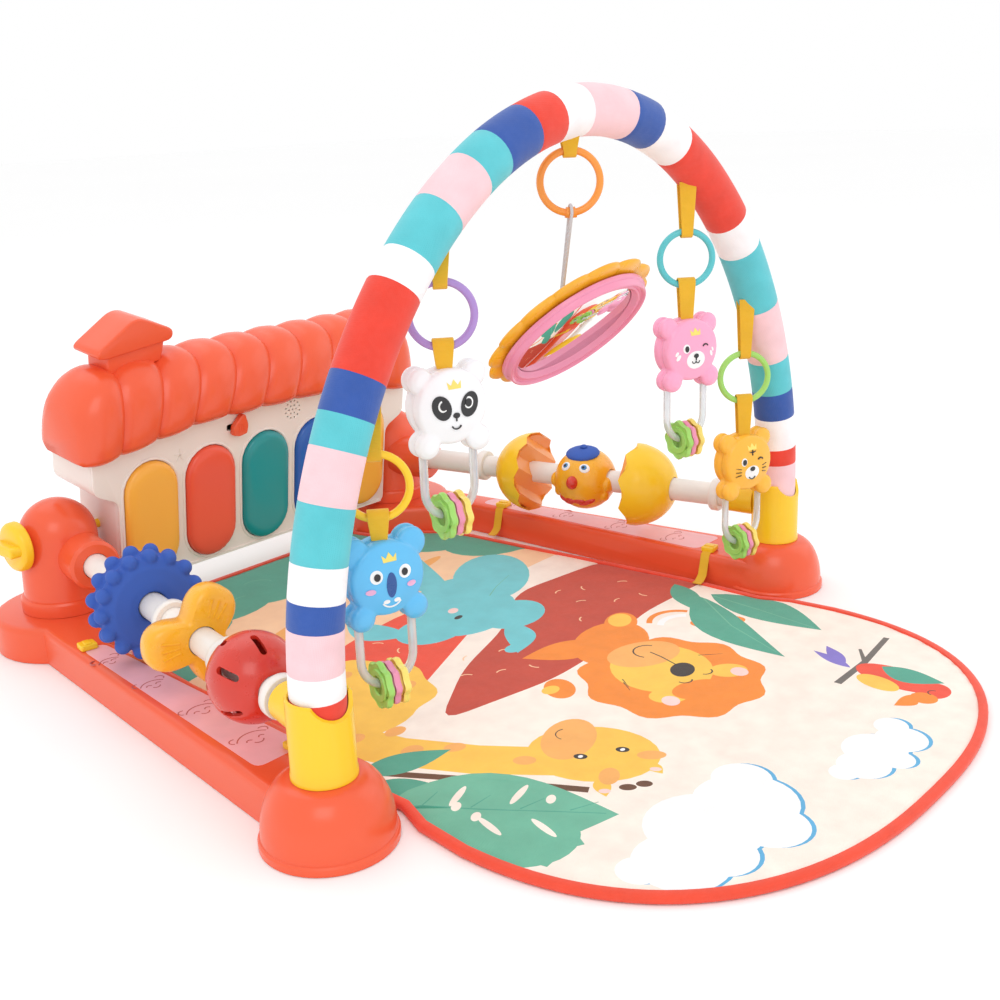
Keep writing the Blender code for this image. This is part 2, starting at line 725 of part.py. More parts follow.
# ---- hanging toys -------------------------------------------------------------------
def circle_path(radius, steps, start=0.0, stop=2.0 * math.pi, low=0.0, whole=True):
    """Points of a circle or an arc in the XZ plane, its centre at height low."""
    count = steps if whole else steps + 1
    angles = [start + (stop - start) * i / steps for i in range(count)]
    return [Vector((radius * math.cos(a), 0.0, low + radius * math.sin(a))) for a in angles]


def hanging_ring(name, colour, frame):
    """A ring hung by its top; the frame's origin is the ring's top."""
    path = [p - Vector((0.0, 0.0, RING_R)) for p in circle_path(RING_R, 16)]
    ring = add(name, sweep(path, RING_WIRE, 6, closed=True), colour, 0.3)
    ring.matrix_basis = frame


def strap_loop(name, frame, top, bottom):
    """A flat webbing loop round the ring's lowest point, down to the head."""
    half, thick = 0.0050, 0.0010
    bm = bmesh.new()
    outer = [(-half, bottom), (-half, top - 0.002), (-0.0025, top),
             (0.0025, top), (half, top - 0.002), (half, bottom)]
    inner = [(-half + thick, bottom + thick), (-half + thick, top - 0.0025), (-0.0021, top - thick),
             (0.0021, top - thick), (half - thick, top - 0.0025), (half - thick, bottom + thick)]
    layers = []
    for x in (-0.0075, 0.0075):
        layers.append(([bm.verts.new((x, a, b)) for a, b in outer],
                       [bm.verts.new((x, a, b)) for a, b in inner]))
    count = len(outer)
    (outer_a, inner_a), (outer_b, inner_b) = layers
    for i in range(count):
        j = (i + 1) % count
        bm.faces.new((outer_a[i], outer_a[j], outer_b[j], outer_b[i]))
        bm.faces.new((inner_a[i], inner_a[j], inner_b[j], inner_b[i]))
        bm.faces.new((outer_a[i], outer_a[j], inner_a[j], inner_a[i]))
        bm.faces.new((outer_b[i], outer_b[j], inner_b[j], inner_b[i]))
    strap = add(name, bm, "yellow", 0.8)
    strap.matrix_basis = frame


def make_toy(name, ring_colour, head_colour):
    x, ring_z, gap = TOYS[name]
    ring_frame = shift(x, 0.0, ring_z + RING_R) @ turn(RING_YAW, "Z")
    hanging_ring(f"{name}_ring", ring_colour, ring_frame)
    swing = shift(x, 0.0, ring_z - RING_R) @ turn(RING_YAW, "Z")
    strap_loop(f"{name}_strap", swing, RING_WIRE + 0.0038, -gap)
    rattle = shift(x, 0.0, ring_z - RING_R) @ turn(RATTLE_YAW, "Z")
    middle = -gap - GAP - HEAD_H * 0.5
    drum = sphere(HEAD_H * 0.5, (0.0, 0.0, middle), (1.0, 0.50, 0.96), 10)
    head = add(f"{name}_head", drum, head_colour)
    bumps = bmesh.new()
    for side in (-1, 1):
        join_into(bumps, sphere(0.0085, (side * 0.019, 0.001, middle + 0.0190), (1.0, 0.7, 1.0), 6))
        join_into(bumps, sphere(0.0075, (side * 0.0185, -0.003, middle - 0.0200), (1.0, 0.9, 1.0), 6))
    tool = add(f"cut_{name}_bumps", bumps)
    combine(head, tool, "UNION")
    head.matrix_basis = rattle
    tool.matrix_basis = rattle
    centre_z = middle - 0.0280 - GAP * 2
    drop = HOOP_DROP - 0.020
    path = [Vector((HOOP_R, 0.0, centre_z))]
    path += circle_path(HOOP_R, 10, 0.0, -math.pi, centre_z - drop, whole=False)
    path.append(Vector((-HOOP_R, 0.0, centre_z)))
    hoop = add(f"{name}_hoop", sweep(path, HOOP_WIRE, 6), "white", 0.3)
    hoop.matrix_basis = rattle
    disc_frame = rattle @ shift(0.0, 0.0, centre_z - drop) @ shift(0.0, 0.0, -HOOP_R) \
        @ turn(math.pi / 2.0, "Y")
    make_discs(f"{name}_discs", disc_frame)


def make_discs(name, frame):
    """Three flower discs threaded on the hoop, joined by thin collars."""
    steps, bore = 20, 0.0058
    bm = bmesh.new()
    layers = [(bore, -0.0085)]
    for low in (-0.0085, -0.0025, 0.0035):
        layers += [(0.0150, low), (0.0150, low + 0.0050)]
        if low < 0.003:
            layers += [(0.0080, low + 0.0052), (0.0080, low + 0.0058)]
    layers.append((bore, 0.0085))
    rings = []
    for size, z in layers:
        ring = []
        for i in range(steps):
            angle = 2.0 * math.pi * i / steps
            wave = 1.0 if size < 0.010 else 1.0 + 0.10 * math.cos(5 * angle)
            reach = size * wave
            ring.append(bm.verts.new((reach * math.cos(angle), reach * math.sin(angle), z)))
        rings.append(ring)
    for low, high in zip(rings, rings[1:] + rings[:1]):
        for i in range(steps):
            j = (i + 1) % steps
            bm.faces.new((low[i], low[j], high[j], high[i]))
    discs = add(name, bm, "green")
    discs.matrix_basis = frame


def make_mirror():
    ring_frame = shift(MIRROR_X, 0.0, MIRROR_RING_Z + RING_R) @ turn(RING_YAW, "Z")
    hanging_ring("mirror_ring", "orange", ring_frame)
    face = shift(MIRROR_X, 0.0, MIRROR_Z) @ turn(MIRROR_YAW, "Z")
    face = face @ turn(math.pi / 2.0 - MIRROR_TILT, "X")
    petals = 14
    steps = petals * 3
    bm = bmesh.new()
    layers = ((0.048, 0.0), (0.0672, -0.0030), (0.0672, -0.0060), (0.048, -0.0075), (0.012, -0.0140))
    rings = []
    for size, z in layers:
        ring = []
        for i in range(steps):
            angle = 2.0 * math.pi * i / steps
            dip = 0.05 if size > 0.06 else 0.0
            wave = 1.0 - dip * (0.5 - 0.5 * math.cos(petals * angle))
            reach = size * wave
            ring.append(bm.verts.new((reach * math.cos(angle), reach * math.sin(angle), z)))
        rings.append(ring)
    for low, high in zip(rings, rings[1:]):
        for i in range(steps):
            j = (i + 1) % steps
            bm.faces.new((low[i], low[j], high[j], high[i]))
    bm.faces.new(rings[0])
    bm.faces.new(rings[-1])
    frame = add("mirror_flower", bm, "yellow")
    frame.matrix_basis = face
    corners = [(0.0470, 0.0003), (0.0583, 0.0003), (0.0583, 0.0045), (0.0552, 0.0080), (0.0482, 0.0055)]
    bezel = add("mirror_bezel", lathe(corners + corners[:1], 28), "pink")
    bezel.matrix_basis = face
    glass = add("mirror_glass", cylinder(0.0465, 0.0003, 0.0025, 28), "metal", 0.05, 1.0)
    glass.matrix_basis = face
    make_mirror_cord(face)


def cord_route(face):
    """Doubled cord: up from the mirror's back, over the ring's lowest point and down again."""
    ring_low = Vector((MIRROR_X, 0.0, MIRROR_RING_Z - RING_R))
    across = turn(RING_YAW + math.pi / 2.0, "Z") @ Vector((1.0, 0.0, 0.0))
    end = face @ Vector((0.0, 0.0, -0.0165))
    side = 0.0052
    left = []
    for i in range(9):
        part = i / 8.0
        left.append((end.lerp(ring_low, part), side * (0.45 + 0.55 * part)))
    route = [p + across * s for p, s in left]
    for i in range(1, 8):
        angle = math.pi * i / 8.0
        offset = across * side * math.cos(angle) + Vector((0.0, 0.0, side * math.sin(angle)))
        route.append(ring_low + offset)
    route += [p - across * s for p, s in reversed(left)]
    return route


def make_mirror_cord(face):
    route = cord_route(face)
    curve = bpy.data.curves.new("mirror_cord", "CURVE")
    curve.dimensions = "3D"
    curve.bevel_depth = 0.0011
    curve.bevel_resolution = 2
    curve.use_fill_caps = True
    spline = curve.splines.new("POLY")
    spline.points.add(len(route) - 1)
    for point, place in zip(spline.points, route):
        point.co = (*place, 1.0)
    curve.materials.append(material("mirror_cord", "white", 0.9))
    cord = bpy.data.objects.new("mirror_cord", curve)
    bpy.context.collection.objects.link(cord)


def main():
    clear_scene()
    for side, label in ((-1, "left"), (1, "right")):
        make_base(side, label)
        make_post(side, label)
        make_socket(side, label)
        make_shaft(side, label)
    make_mat()
    make_arch()
    make_piano()
    make_spinners()
    make_toy("koala", "yellow", "blue")
    make_toy("panda", "purple", "white")
    make_toy("bear", "teal", "pink")
    make_toy("tiger", "green", "orange")
    make_mirror()


main()
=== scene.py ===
"""Activity play gym: a striped toy arch and a kick piano on two side bases, round a printed mat.

Units are metres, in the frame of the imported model: +Y runs from the front of the mat to the
piano, +X to the right and +Z up. Every piece has its place in its mesh and rides on a body.
"""
import logging
import math
from collections.abc import Callable, Iterable, Sequence
from dataclasses import dataclass
from enum import Enum

import bmesh
import bpy
from mathutils import Matrix, Vector, noise
from mathutils.bvhtree import BVHTree
from mathutils.geometry import delaunay_2d_cdt


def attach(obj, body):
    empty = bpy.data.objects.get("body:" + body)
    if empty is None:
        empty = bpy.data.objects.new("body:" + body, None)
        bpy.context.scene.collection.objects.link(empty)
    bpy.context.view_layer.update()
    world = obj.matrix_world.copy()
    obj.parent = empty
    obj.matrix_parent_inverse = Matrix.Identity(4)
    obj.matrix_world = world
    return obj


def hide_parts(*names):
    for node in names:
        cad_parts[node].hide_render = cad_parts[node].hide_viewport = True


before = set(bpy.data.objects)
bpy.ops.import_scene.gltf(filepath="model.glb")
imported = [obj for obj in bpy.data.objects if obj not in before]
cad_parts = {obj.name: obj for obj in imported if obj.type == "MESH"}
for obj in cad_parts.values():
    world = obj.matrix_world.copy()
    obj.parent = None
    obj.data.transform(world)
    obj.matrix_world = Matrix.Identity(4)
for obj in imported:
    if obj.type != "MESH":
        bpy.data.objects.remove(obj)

LOG = logging.getLogger("play_gym")
TAU = 2.0 * math.pi
Point2 = tuple[float, float]
Loop = list[Vector]


# ---- finishes -----------------------------------------------------------------------
def linear(colour: tuple[int, int, int]) -> tuple[float, float, float, float]:
    """Turn an 8-bit display colour into a linear one for a shader socket."""
    return (*[(c / 255.0 / 12.92) if c < 11 else ((c / 255.0 + 0.055) / 1.055) ** 2.4 for c in colour], 1.0)


class Shading:
    """A small helper that wires a material's nodes."""

    def __init__(self, tree: bpy.types.NodeTree) -> None:
        """Keep the tree and its principled shader."""
        self.tree = tree
        self.shader = tree.nodes["Principled BSDF"]
        self.place = tree.nodes.new("ShaderNodeTexCoord")

    def node(self, kind: str, **sockets: object) -> bpy.types.Node:
        """Add a node and fill its named sockets.

        Args:
            kind: The node's type name.
            sockets: A value or an output socket for each input, named with _ for a space.

        Returns:
            The new node.
        """
        made = self.tree.nodes.new(kind)
        for name, value in sockets.items():
            self.feed(made.inputs[name.replace("_", " ")], value)
        return made

    def feed(self, socket: bpy.types.NodeSocket, value: object) -> None:
        """Link an output to a socket, or set the socket's own value."""
        if isinstance(value, bpy.types.NodeSocket):
            self.tree.links.new(value, socket)
        else:
            socket.default_value = value

    def grain(self, scale: float, detail: float = 3.0) -> bpy.types.NodeSocket:
        """A noise value over the piece, at a scale per metre."""
        return self.node("ShaderNodeTexNoise", Vector=self.place.outputs["Object"], Scale=scale,
                Detail=detail).outputs["Fac"]

    def spread(self, value: bpy.types.NodeSocket, low: float, high: float) -> bpy.types.NodeSocket:
        """Map a noise value's useful middle to the range low..high."""
        made = self.node("ShaderNodeMapRange", Value=value)
        for name, number in (("From Min", 0.3), ("From Max", 0.7), ("To Min", low), ("To Max", high)):
            made.inputs[name].default_value = number
        return made.outputs["Result"]

    def blend(self, factor: bpy.types.NodeSocket, first: Sequence[float],
            second: Sequence[float]) -> bpy.types.NodeSocket:
        """Mix two colours by a factor."""
        made = self.tree.nodes.new("ShaderNodeMix")
        made.data_type = "RGBA"
        self.feed(made.inputs["Factor"], factor)
        made.inputs[6].default_value = first
        made.inputs[7].default_value = second
        return made.outputs[2]

    def weave(self, pitch: float, axes: Iterable[str] = ("X", "Y")) -> bpy.types.NodeSocket:
        """The height of a plain weave with the given thread pitch."""
        waves = []
        for axis in axes:
            made = self.node("ShaderNodeTexWave", Vector=self.place.outputs["Object"], Scale=0.314 / pitch,
                    Distortion=0.6, Detail=1.0)
            made.bands_direction = axis
            waves.append(made.outputs["Fac"])
        total = self.node("ShaderNodeMath")
        total.operation = "MAXIMUM"
        for socket, wave in zip(total.inputs, waves):
            self.feed(socket, wave)
        return total.outputs["Value"]

    def bump(self, height: bpy.types.NodeSocket, depth: float, strength: float = 0.6) -> None:
        """Put a height on the shader's normal, depth metres tall."""
        made = self.node("ShaderNodeBump", Height=height, Strength=strength, Distance=depth)
        self.feed(self.shader.inputs["Normal"], made.outputs["Normal"])


@dataclass(frozen=True)
class Finish:
    """A named surface finish."""

    name: str
    colour: tuple[int, int, int]

    def material(self) -> bpy.types.Material:
        """The finish's material, made once."""
        found = bpy.data.materials.get(self.name)
        if found is None:
            found = bpy.data.materials.new(self.name)
            found.use_nodes = True
            self.dress(Shading(found.node_tree))
        return found

    def tone(self, share: float) -> list[float]:
        """The colour made lighter or darker by a share."""
        return [min(1.0, c * share) for c in linear(self.colour)[:3]] + [1.0]

    def dress(self, work: Shading) -> None:
        """Wire the nodes; each kind of finish has its own."""
        raise NotImplementedError


@dataclass(frozen=True)
class Moulded(Finish):
    """Glossy injection-moulded plastic with faint flow marks."""

    rough: float = 0.30
    coat: float = 0.35

    def dress(self, work: Shading) -> None:
        """Soft gloss over a slightly uneven skin."""
        flow = work.spread(work.grain(26.0, 4.0), 0.0, 1.0)
        work.feed(work.shader.inputs["Base Color"], work.blend(flow, self.tone(0.90), self.tone(1.05)))
        skin = work.spread(work.grain(160.0, 5.0), self.rough - 0.06, self.rough + 0.08)
        work.feed(work.shader.inputs["Roughness"], skin)
        work.bump(work.grain(1100.0, 3.0), 0.00006, 0.35)
        work.shader.inputs["Coat Weight"].default_value = self.coat
        work.shader.inputs["Coat Roughness"].default_value = 0.12
        work.shader.inputs["IOR"].default_value = 1.49


@dataclass(frozen=True)
class Clear(Finish):
    """Tinted see-through plastic."""

    passing: float = 0.55

    def dress(self, work: Shading) -> None:
        """A glossy, partly clear body with thicker-looking streaks."""
        flow = work.spread(work.grain(60.0, 2.0), 0.0, 1.0)
        work.feed(work.shader.inputs["Base Color"], work.blend(flow, self.tone(0.88), self.tone(1.08)))
        work.feed(work.shader.inputs["Roughness"], work.spread(work.grain(210.0), 0.04, 0.12))
        work.bump(work.grain(420.0, 2.0), 0.00010, 0.25)
        work.shader.inputs["Transmission Weight"].default_value = self.passing
        work.shader.inputs["Coat Weight"].default_value = 0.6
        work.shader.inputs["Coat Roughness"].default_value = 0.05
        work.shader.inputs["IOR"].default_value = 1.46


@dataclass(frozen=True)
class Cloth(Finish):
    """Woven printed cloth."""

    pitch: float = 0.0011
    depth: float = 0.00016
    sheen: float = 0.20

    def dress(self, work: Shading) -> None:
        """A soft weave, a little uneven in colour."""
        wear = work.spread(work.grain(55.0, 5.0), 0.0, 1.0)
        work.feed(work.shader.inputs["Base Color"], work.blend(wear, self.tone(0.93), self.tone(1.04)))
        work.feed(work.shader.inputs["Roughness"], work.spread(work.grain(240.0), 0.78, 0.92))
        work.bump(work.weave(self.pitch, self.threads()), self.depth, 0.5)
        work.shader.inputs["Sheen Weight"].default_value = self.sheen
        work.shader.inputs["Sheen Roughness"].default_value = 0.5

    def threads(self) -> tuple[str, str]:
        """The two directions the threads run in."""
        return ("X", "Y")


@dataclass(frozen=True)
class Webbing(Cloth):
    """Narrow satin ribbon, its ribs across its length."""

    def threads(self) -> tuple[str, str]:
        """Ribs follow height."""
        return ("Z", "DIAGONAL")


@dataclass(frozen=True)
class Sleeving(Cloth):
    """Smooth knitted sleeve cloth."""

    def threads(self) -> tuple[str, str]:
        """Rows follow the arch's own plane."""
        return ("X", "Z")


@dataclass(frozen=True)
class Metal(Finish):
    """Bare or polished metal."""

    rough: float = 0.2

    def dress(self, work: Shading) -> None:
        """Brushed metal with a faintly uneven polish."""
        work.feed(work.shader.inputs["Base Color"],
                work.blend(work.grain(90.0), self.tone(0.9), self.tone(1.05)))
        work.feed(work.shader.inputs["Roughness"],
                work.spread(work.grain(400.0), self.rough * 0.7, self.rough * 1.4))
        work.bump(work.grain(900.0), 0.00002, 0.2)
        work.shader.inputs["Metallic"].default_value = 1.0


class Colour(Enum):
    """Every finish on the gym."""

    RED = Moulded("red_plastic", (240, 84, 54))
    DEEP_RED = Moulded("deep_red_plastic", (214, 52, 36))
    YELLOW = Moulded("yellow_plastic", (255, 204, 18))
    GOLD = Moulded("gold_plastic", (248, 178, 32))
    CREAM = Moulded("cream_plastic", (242, 231, 222), 0.42, 0.15)
    SHAFT = Moulded("shaft_plastic", (238, 232, 226), 0.35, 0.2)
    KEY_ORANGE = Moulded("orange_key", (250, 186, 62), 0.34)
    KEY_RED = Moulded("red_key", (238, 84, 58), 0.34)
    KEY_TEAL = Moulded("teal_key", (28, 156, 158), 0.34)
    KEY_BLUE = Moulded("blue_key", (28, 92, 186), 0.34)
    BLUE = Moulded("blue_plastic", (44, 92, 184))
    SKY = Moulded("sky_plastic", (70, 140, 200))
    PURPLE = Moulded("purple_plastic", (178, 138, 214), 0.25)
    TEAL = Moulded("teal_plastic", (100, 204, 212), 0.25)
    GREEN = Moulded("green_plastic", (168, 218, 84), 0.25)
    ORANGE = Moulded("orange_plastic", (246, 156, 48), 0.25)
    PINK = Moulded("pink_plastic", (232, 70, 110), 0.22)
    PALE_YELLOW = Moulded("pale_yellow_plastic", (250, 224, 110), 0.28)
    BLACK = Moulded("black_print", (26, 24, 28), 0.35)
    WHITE = Moulded("white_print", (250, 250, 250), 0.35)
    NAVY = Moulded("navy_print", (24, 78, 150), 0.3)
    BLUSH = Moulded("blush_print", (238, 176, 214), 0.4)
    DECAL = Moulded("pink_decal", (248, 184, 192), 0.45)
    DECAL_LINE = Moulded("decal_line", (196, 92, 84), 0.45)
    BOARD = Moulded("board", (24, 110, 66), 0.5)
    BATTERY = Moulded("battery", (44, 46, 50), 0.5)
    CLEAR_BLUE = Clear("clear_blue_plastic", (92, 178, 240))
    CLEAR_WHITE = Clear("clear_white_plastic", (244, 246, 250))
    CLEAR_PINK = Clear("clear_pink_plastic", (248, 140, 200))
    CLEAR_ORANGE = Clear("clear_orange_plastic", (252, 168, 44))
    CLEAR_HOOP = Clear("clear_hoop_plastic", (240, 244, 250))
    SLEEVE_RED = Sleeving("sleeve_red", (234, 66, 48))
    SLEEVE_TEAL = Sleeving("sleeve_teal", (92, 198, 208))
    SLEEVE_BLUE = Sleeving("sleeve_blue", (50, 88, 168))
    SLEEVE_PINK = Sleeving("sleeve_pink", (248, 206, 212))
    SLEEVE_WHITE = Sleeving("sleeve_white", (252, 248, 250))
    RIBBON = Webbing("gold_ribbon", (232, 180, 40), 0.0009)
    CORD = Webbing("twisted_cord", (204, 204, 208), 0.0016, 0.0005)
    MAT_CREAM = Cloth("mat_cream", (254, 240, 228))
    MAT_RED = Cloth("mat_red", (240, 78, 52))
    MAT_DARK_RED = Cloth("mat_dark_red", (198, 68, 46))
    MAT_BUSH = Cloth("mat_bush_green", (78, 166, 142))
    MAT_LEAF = Cloth("mat_leaf_green", (108, 184, 156))
    MAT_TEAL = Cloth("mat_teal", (112, 204, 212))
    MAT_PEACH = Cloth("mat_peach", (254, 210, 168))
    MAT_GOLD = Cloth("mat_gold", (254, 200, 78))
    MAT_ORANGE = Cloth("mat_orange", (246, 140, 40))
    MAT_TAN = Cloth("mat_tan", (248, 178, 96))
    MAT_WHITE = Cloth("mat_white", (255, 255, 255))
    MAT_BLUE = Cloth("mat_blue_line", (92, 176, 222))
    MAT_BROWN = Cloth("mat_brown", (104, 66, 40))
    MAT_GREY = Cloth("mat_grey", (110, 104, 98))
    MAT_DARK = Cloth("mat_dark_line", (52, 46, 44))
    MAT_PINK = Cloth("mat_pink", (254, 214, 208))
    MAT_PURPLE = Cloth("mat_purple", (132, 118, 204))
    MIRROR = Metal("mirror", (226, 236, 228), 0.06)
    STEEL = Metal("steel", (190, 192, 198), 0.18)
    TINNED = Metal("speaker_metal", (150, 152, 156), 0.35)


# ---- shaping ------------------------------------------------------------------------
def shift(x: float = 0.0, y: float = 0.0, z: float = 0.0) -> Matrix:
    """A move."""
    return Matrix.Translation((x, y, z))


def turn(degrees: float, axis: str) -> Matrix:
    """A turn about an axis through the origin."""
    return Matrix.Rotation(math.radians(degrees), 4, axis)


def move(bm: bmesh.types.BMesh, place: Matrix) -> None:
    """Move a whole shape by a matrix."""
    bmesh.ops.transform(bm, matrix=place, verts=bm.verts)


def face_outwards(bm: bmesh.types.BMesh) -> None:
    """Merge doubles and point every face out of the solid."""
    bmesh.ops.remove_doubles(bm, verts=bm.verts, dist=2e-6)
    bmesh.ops.recalc_face_normals(bm, faces=bm.faces)
    if bm.calc_volume(signed=True) < 0.0:
        bmesh.ops.reverse_faces(bm, faces=bm.faces)


def soften(points: Sequence[Point2], radius: float, steps: int = 4, closed: bool = True) -> list[Point2]:
    """Round the corners of a flat outline.

    Args:
        points: The corners in order.
        radius: How far from each corner the rounding starts.
        steps: Segments in each rounded corner.
        closed: Whether the last point joins the first.

    Returns:
        The rounded outline.
    """
    out: list[Point2] = []
    for i, corner in enumerate(points):
        if not closed and i in (0, len(points) - 1):
            out.append(corner)
            continue
        here = Vector(corner)
        before = Vector(points[i - 1]) - here
        after = Vector(points[(i + 1) % len(points)]) - here
        start = here + before.normalized() * min(radius, before.length * 0.45)
        end = here + after.normalized() * min(radius, after.length * 0.45)
        for k in range(steps + 1):
            t = k / steps
            spot = start * (1 - t) ** 2 + here * (2 * t * (1 - t)) + end * t * t
            out.append((spot.x, spot.y))
    return out


def oval(x: float, y: float, rx: float, ry: float, degrees: float = 0.0, steps: int = 28) -> list[Point2]:
    """An ellipse turned by an angle."""
    lean = math.radians(degrees)
    out = []
    for i in range(steps):
        a = TAU * i / steps
        u, v = rx * math.cos(a), ry * math.sin(a)
        out.append((x + u * math.cos(lean) - v * math.sin(lean), y + u * math.sin(lean) + v * math.cos(lean)))
    return out


def scallop(x: float, y: float, radius: float, lobes: int, dip: float, steps: int = 8) -> list[Point2]:
    """A round outline with soft lobes."""
    out = []
    for i in range(lobes * steps):
        a = TAU * i / (lobes * steps)
        reach = radius * (1.0 - dip * (0.5 - 0.5 * math.cos(lobes * a)))
        out.append((x + reach * math.cos(a), y + reach * math.sin(a)))
    return out


def leaf(base: Point2, tip: Point2, width: float, bend: float = 0.0, steps: int = 12) -> list[Point2]:
    """A pointed leaf from base to tip, its middle bent sideways."""
    start, along = Vector(base), Vector(tip) - Vector(base)
    side = Vector((-along.y, along.x)).normalized()
    out = []
    for sign, order in ((1, range(steps + 1)), (-1, range(steps - 1, 0, -1))):
        for i in order:
            t = i / steps
            half = 0.5 * width * math.sin(math.pi * t ** 0.85)
            spot = start + along * t + side * (sign * half + bend * math.sin(math.pi * t))
            out.append((spot.x, spot.y))
    return out


def stroke(points: Sequence[Point2], width: float, taper: float = 1.0) -> list[Point2]:
    """A drawn line of a given width along points, thinner towards its end by taper."""
    line = [Vector(p) for p in points]
    left, right = [], []
    for i, spot in enumerate(line):
        along = (line[min(i + 1, len(line) - 1)] - line[max(i - 1, 0)]).normalized()
        half = 0.5 * width * (1.0 + (taper - 1.0) * i / (len(line) - 1))
        side = Vector((-along.y, along.x)) * half
        left.append((spot.x + side.x, spot.y + side.y))
        right.append((spot.x - side.x, spot.y - side.y))
    return left + right[::-1]


def arc(x: float, y: float, radius: float, start: float, stop: float, steps: int = 10) -> list[Point2]:
    """Points on an arc, its angles in degrees."""
    return [(x + radius * math.cos(math.radians(start + (stop - start) * i / steps)),
            y + radius * math.sin(math.radians(start + (stop - start) * i / steps))) for i in range(steps + 1)]


def stadium(half_width: float, half_height: float, x: float = 0.0, z: float = 0.0,
            steps: int = 12) -> list[Point2]:
    """An upright oval with straight sides."""
    rise = half_height - half_width
    return arc(x, z + rise, half_width, 0.0, 180.0, steps) + arc(x, z - rise, half_width, 180.0, 360.0, steps)


def spun(profile: Sequence[Point2], steps: int = 40) -> bmesh.types.BMesh:
    """Turn (radius, height) points about Z."""
    bm = bmesh.new()
    verts = [bm.verts.new((radius, 0.0, height)) for radius, height in profile]
    edges = [bm.edges.new(pair) for pair in zip(verts, verts[1:])]
    bmesh.ops.spin(bm, geom=verts + edges, cent=(0, 0, 0), axis=(0, 0, 1), angle=TAU, steps=steps,
            use_merge=True)
    face_outwards(bm)
    return bm


def loft(loops: Sequence[Loop], closed: bool = False, slots: Sequence[int] = ()) -> bmesh.types.BMesh:
    """Bridge a row of loops, capping both ends unless the row closes.

    Args:
        loops: Loops of points, each with the same count.
        closed: Whether the last loop joins the first.
        slots: A material index for each stretch between two loops.

    Returns:
        The solid.
    """
    bm = bmesh.new()
    rings = []
    for loop in loops:
        verts = [bm.verts.new(p) for p in loop]
        rings.append([bm.edges.new((verts[i - 1], verts[i])) for i in range(len(verts))])
    for i in range(len(rings) if closed else len(rings) - 1):
        made = bmesh.ops.bridge_loops(bm, edges=rings[i] + rings[(i + 1) % len(rings)])
        if slots:
            for face in made["faces"]:
                face.material_index = slots[i]
    if not closed:
        for end in (rings[0], rings[-1]):
            bmesh.ops.edgeloop_fill(bm, edges=end)
    face_outwards(bm)
    return bm


def plate(outline: Sequence[Point2], low: float, high: float, axis: str = "Z", bevel: float = 0.0,
        steps: int = 3) -> bmesh.types.BMesh:
    """Extrude a flat outline, with its rims rounded.

    Args:
        outline: Points in X and Y, or in X and Z where axis is Y.
        low: Where the plate starts along the axis.
        high: Where it ends.
        axis: The axis it is extruded along.
        bevel: Width of the rounding on both rims.
        steps: Segments in the rounding.

    Returns:
        The plate.
    """
    bm = bmesh.new()
    flat = axis == "Z"
    face = bm.faces.new([bm.verts.new((a, b, low) if flat else (a, low, b)) for a, b in outline])
    made = bmesh.ops.extrude_face_region(bm, geom=[face], use_keep_orig=True)
    moved = [v for v in made["geom"] if isinstance(v, bmesh.types.BMVert)]
    reach = high - low
    bmesh.ops.translate(bm, verts=moved, vec=(0, 0, reach) if flat else (0, reach, 0))
    face_outwards(bm)
    if bevel:
        index = 2 if flat else 1
        rims = [e for e in bm.edges if abs(e.verts[0].co[index] - e.verts[1].co[index]) < 1e-7]
        bmesh.ops.bevel(bm, geom=rims, offset=bevel, segments=steps, affect="EDGES", profile=0.5, material=-1,
                clamp_overlap=True)
    return bm


def bar(path: Sequence[Vector], radius: float, sides: int = 14, closed: bool = False,
        widths: Sequence[float] = ()) -> bmesh.types.BMesh:
    """A round bar along a path.

    Args:
        path: The points of the centre line.
        radius: The bar's radius.
        sides: Sides of its section.
        closed: Whether the path closes on itself.
        widths: A scale for the radius at each point.

    Returns:
        The bar.
    """
    loops = []
    side = Vector()
    count = len(path)
    for i, spot in enumerate(path):
        before = path[i - 1] if i or closed else spot
        after = path[(i + 1) % count] if i < count - 1 or closed else spot
        along = (after - before).normalized()
        if not i:
            side = along.orthogonal().normalized()
        side = (side - along * side.dot(along)).normalized()
        up = along.cross(side)
        size = radius * (widths[i] if widths else 1.0)
        loops.append([spot + side * size * math.cos(TAU * k / sides) + up * size * math.sin(TAU * k / sides)
                for k in range(sides)])
    return loft(loops, closed)


def ribbon(path: Sequence[Vector], widths: Sequence[float], thick: float,
            across: Vector) -> bmesh.types.BMesh:
    """A flat band with rounded edges along a path.

    Args:
        path: Points of its middle line, in a plane normal to across.
        widths: The band's width at each point.
        thick: Its thickness.
        across: The direction its width lies in.

    Returns:
        The band.
    """
    loops = []
    for i, spot in enumerate(path):
        along = (path[min(i + 1, len(path) - 1)] - path[max(i - 1, 0)]).normalized()
        normal = along.cross(across).normalized() * thick * 0.5
        wide = across * widths[i] * 0.5
        lip = across * thick * 0.35
        loops.append([spot + wide, spot + wide - lip + normal, spot - wide + lip + normal,
                spot - wide, spot - wide + lip - normal, spot + wide - lip - normal])
    return loft(loops)


def ball(centre: Sequence[float], radii: Sequence[float], steps: int = 20) -> bmesh.types.BMesh:
    """A ball or an egg shape."""
    bm = bmesh.new()
    bmesh.ops.create_uvsphere(bm, u_segments=steps, v_segments=steps // 2 + 1, radius=1.0)
    bmesh.ops.transform(bm, matrix=Matrix.Translation(centre) @ Matrix.Diagonal((*radii, 1.0)),
            verts=bm.verts)
    return bm


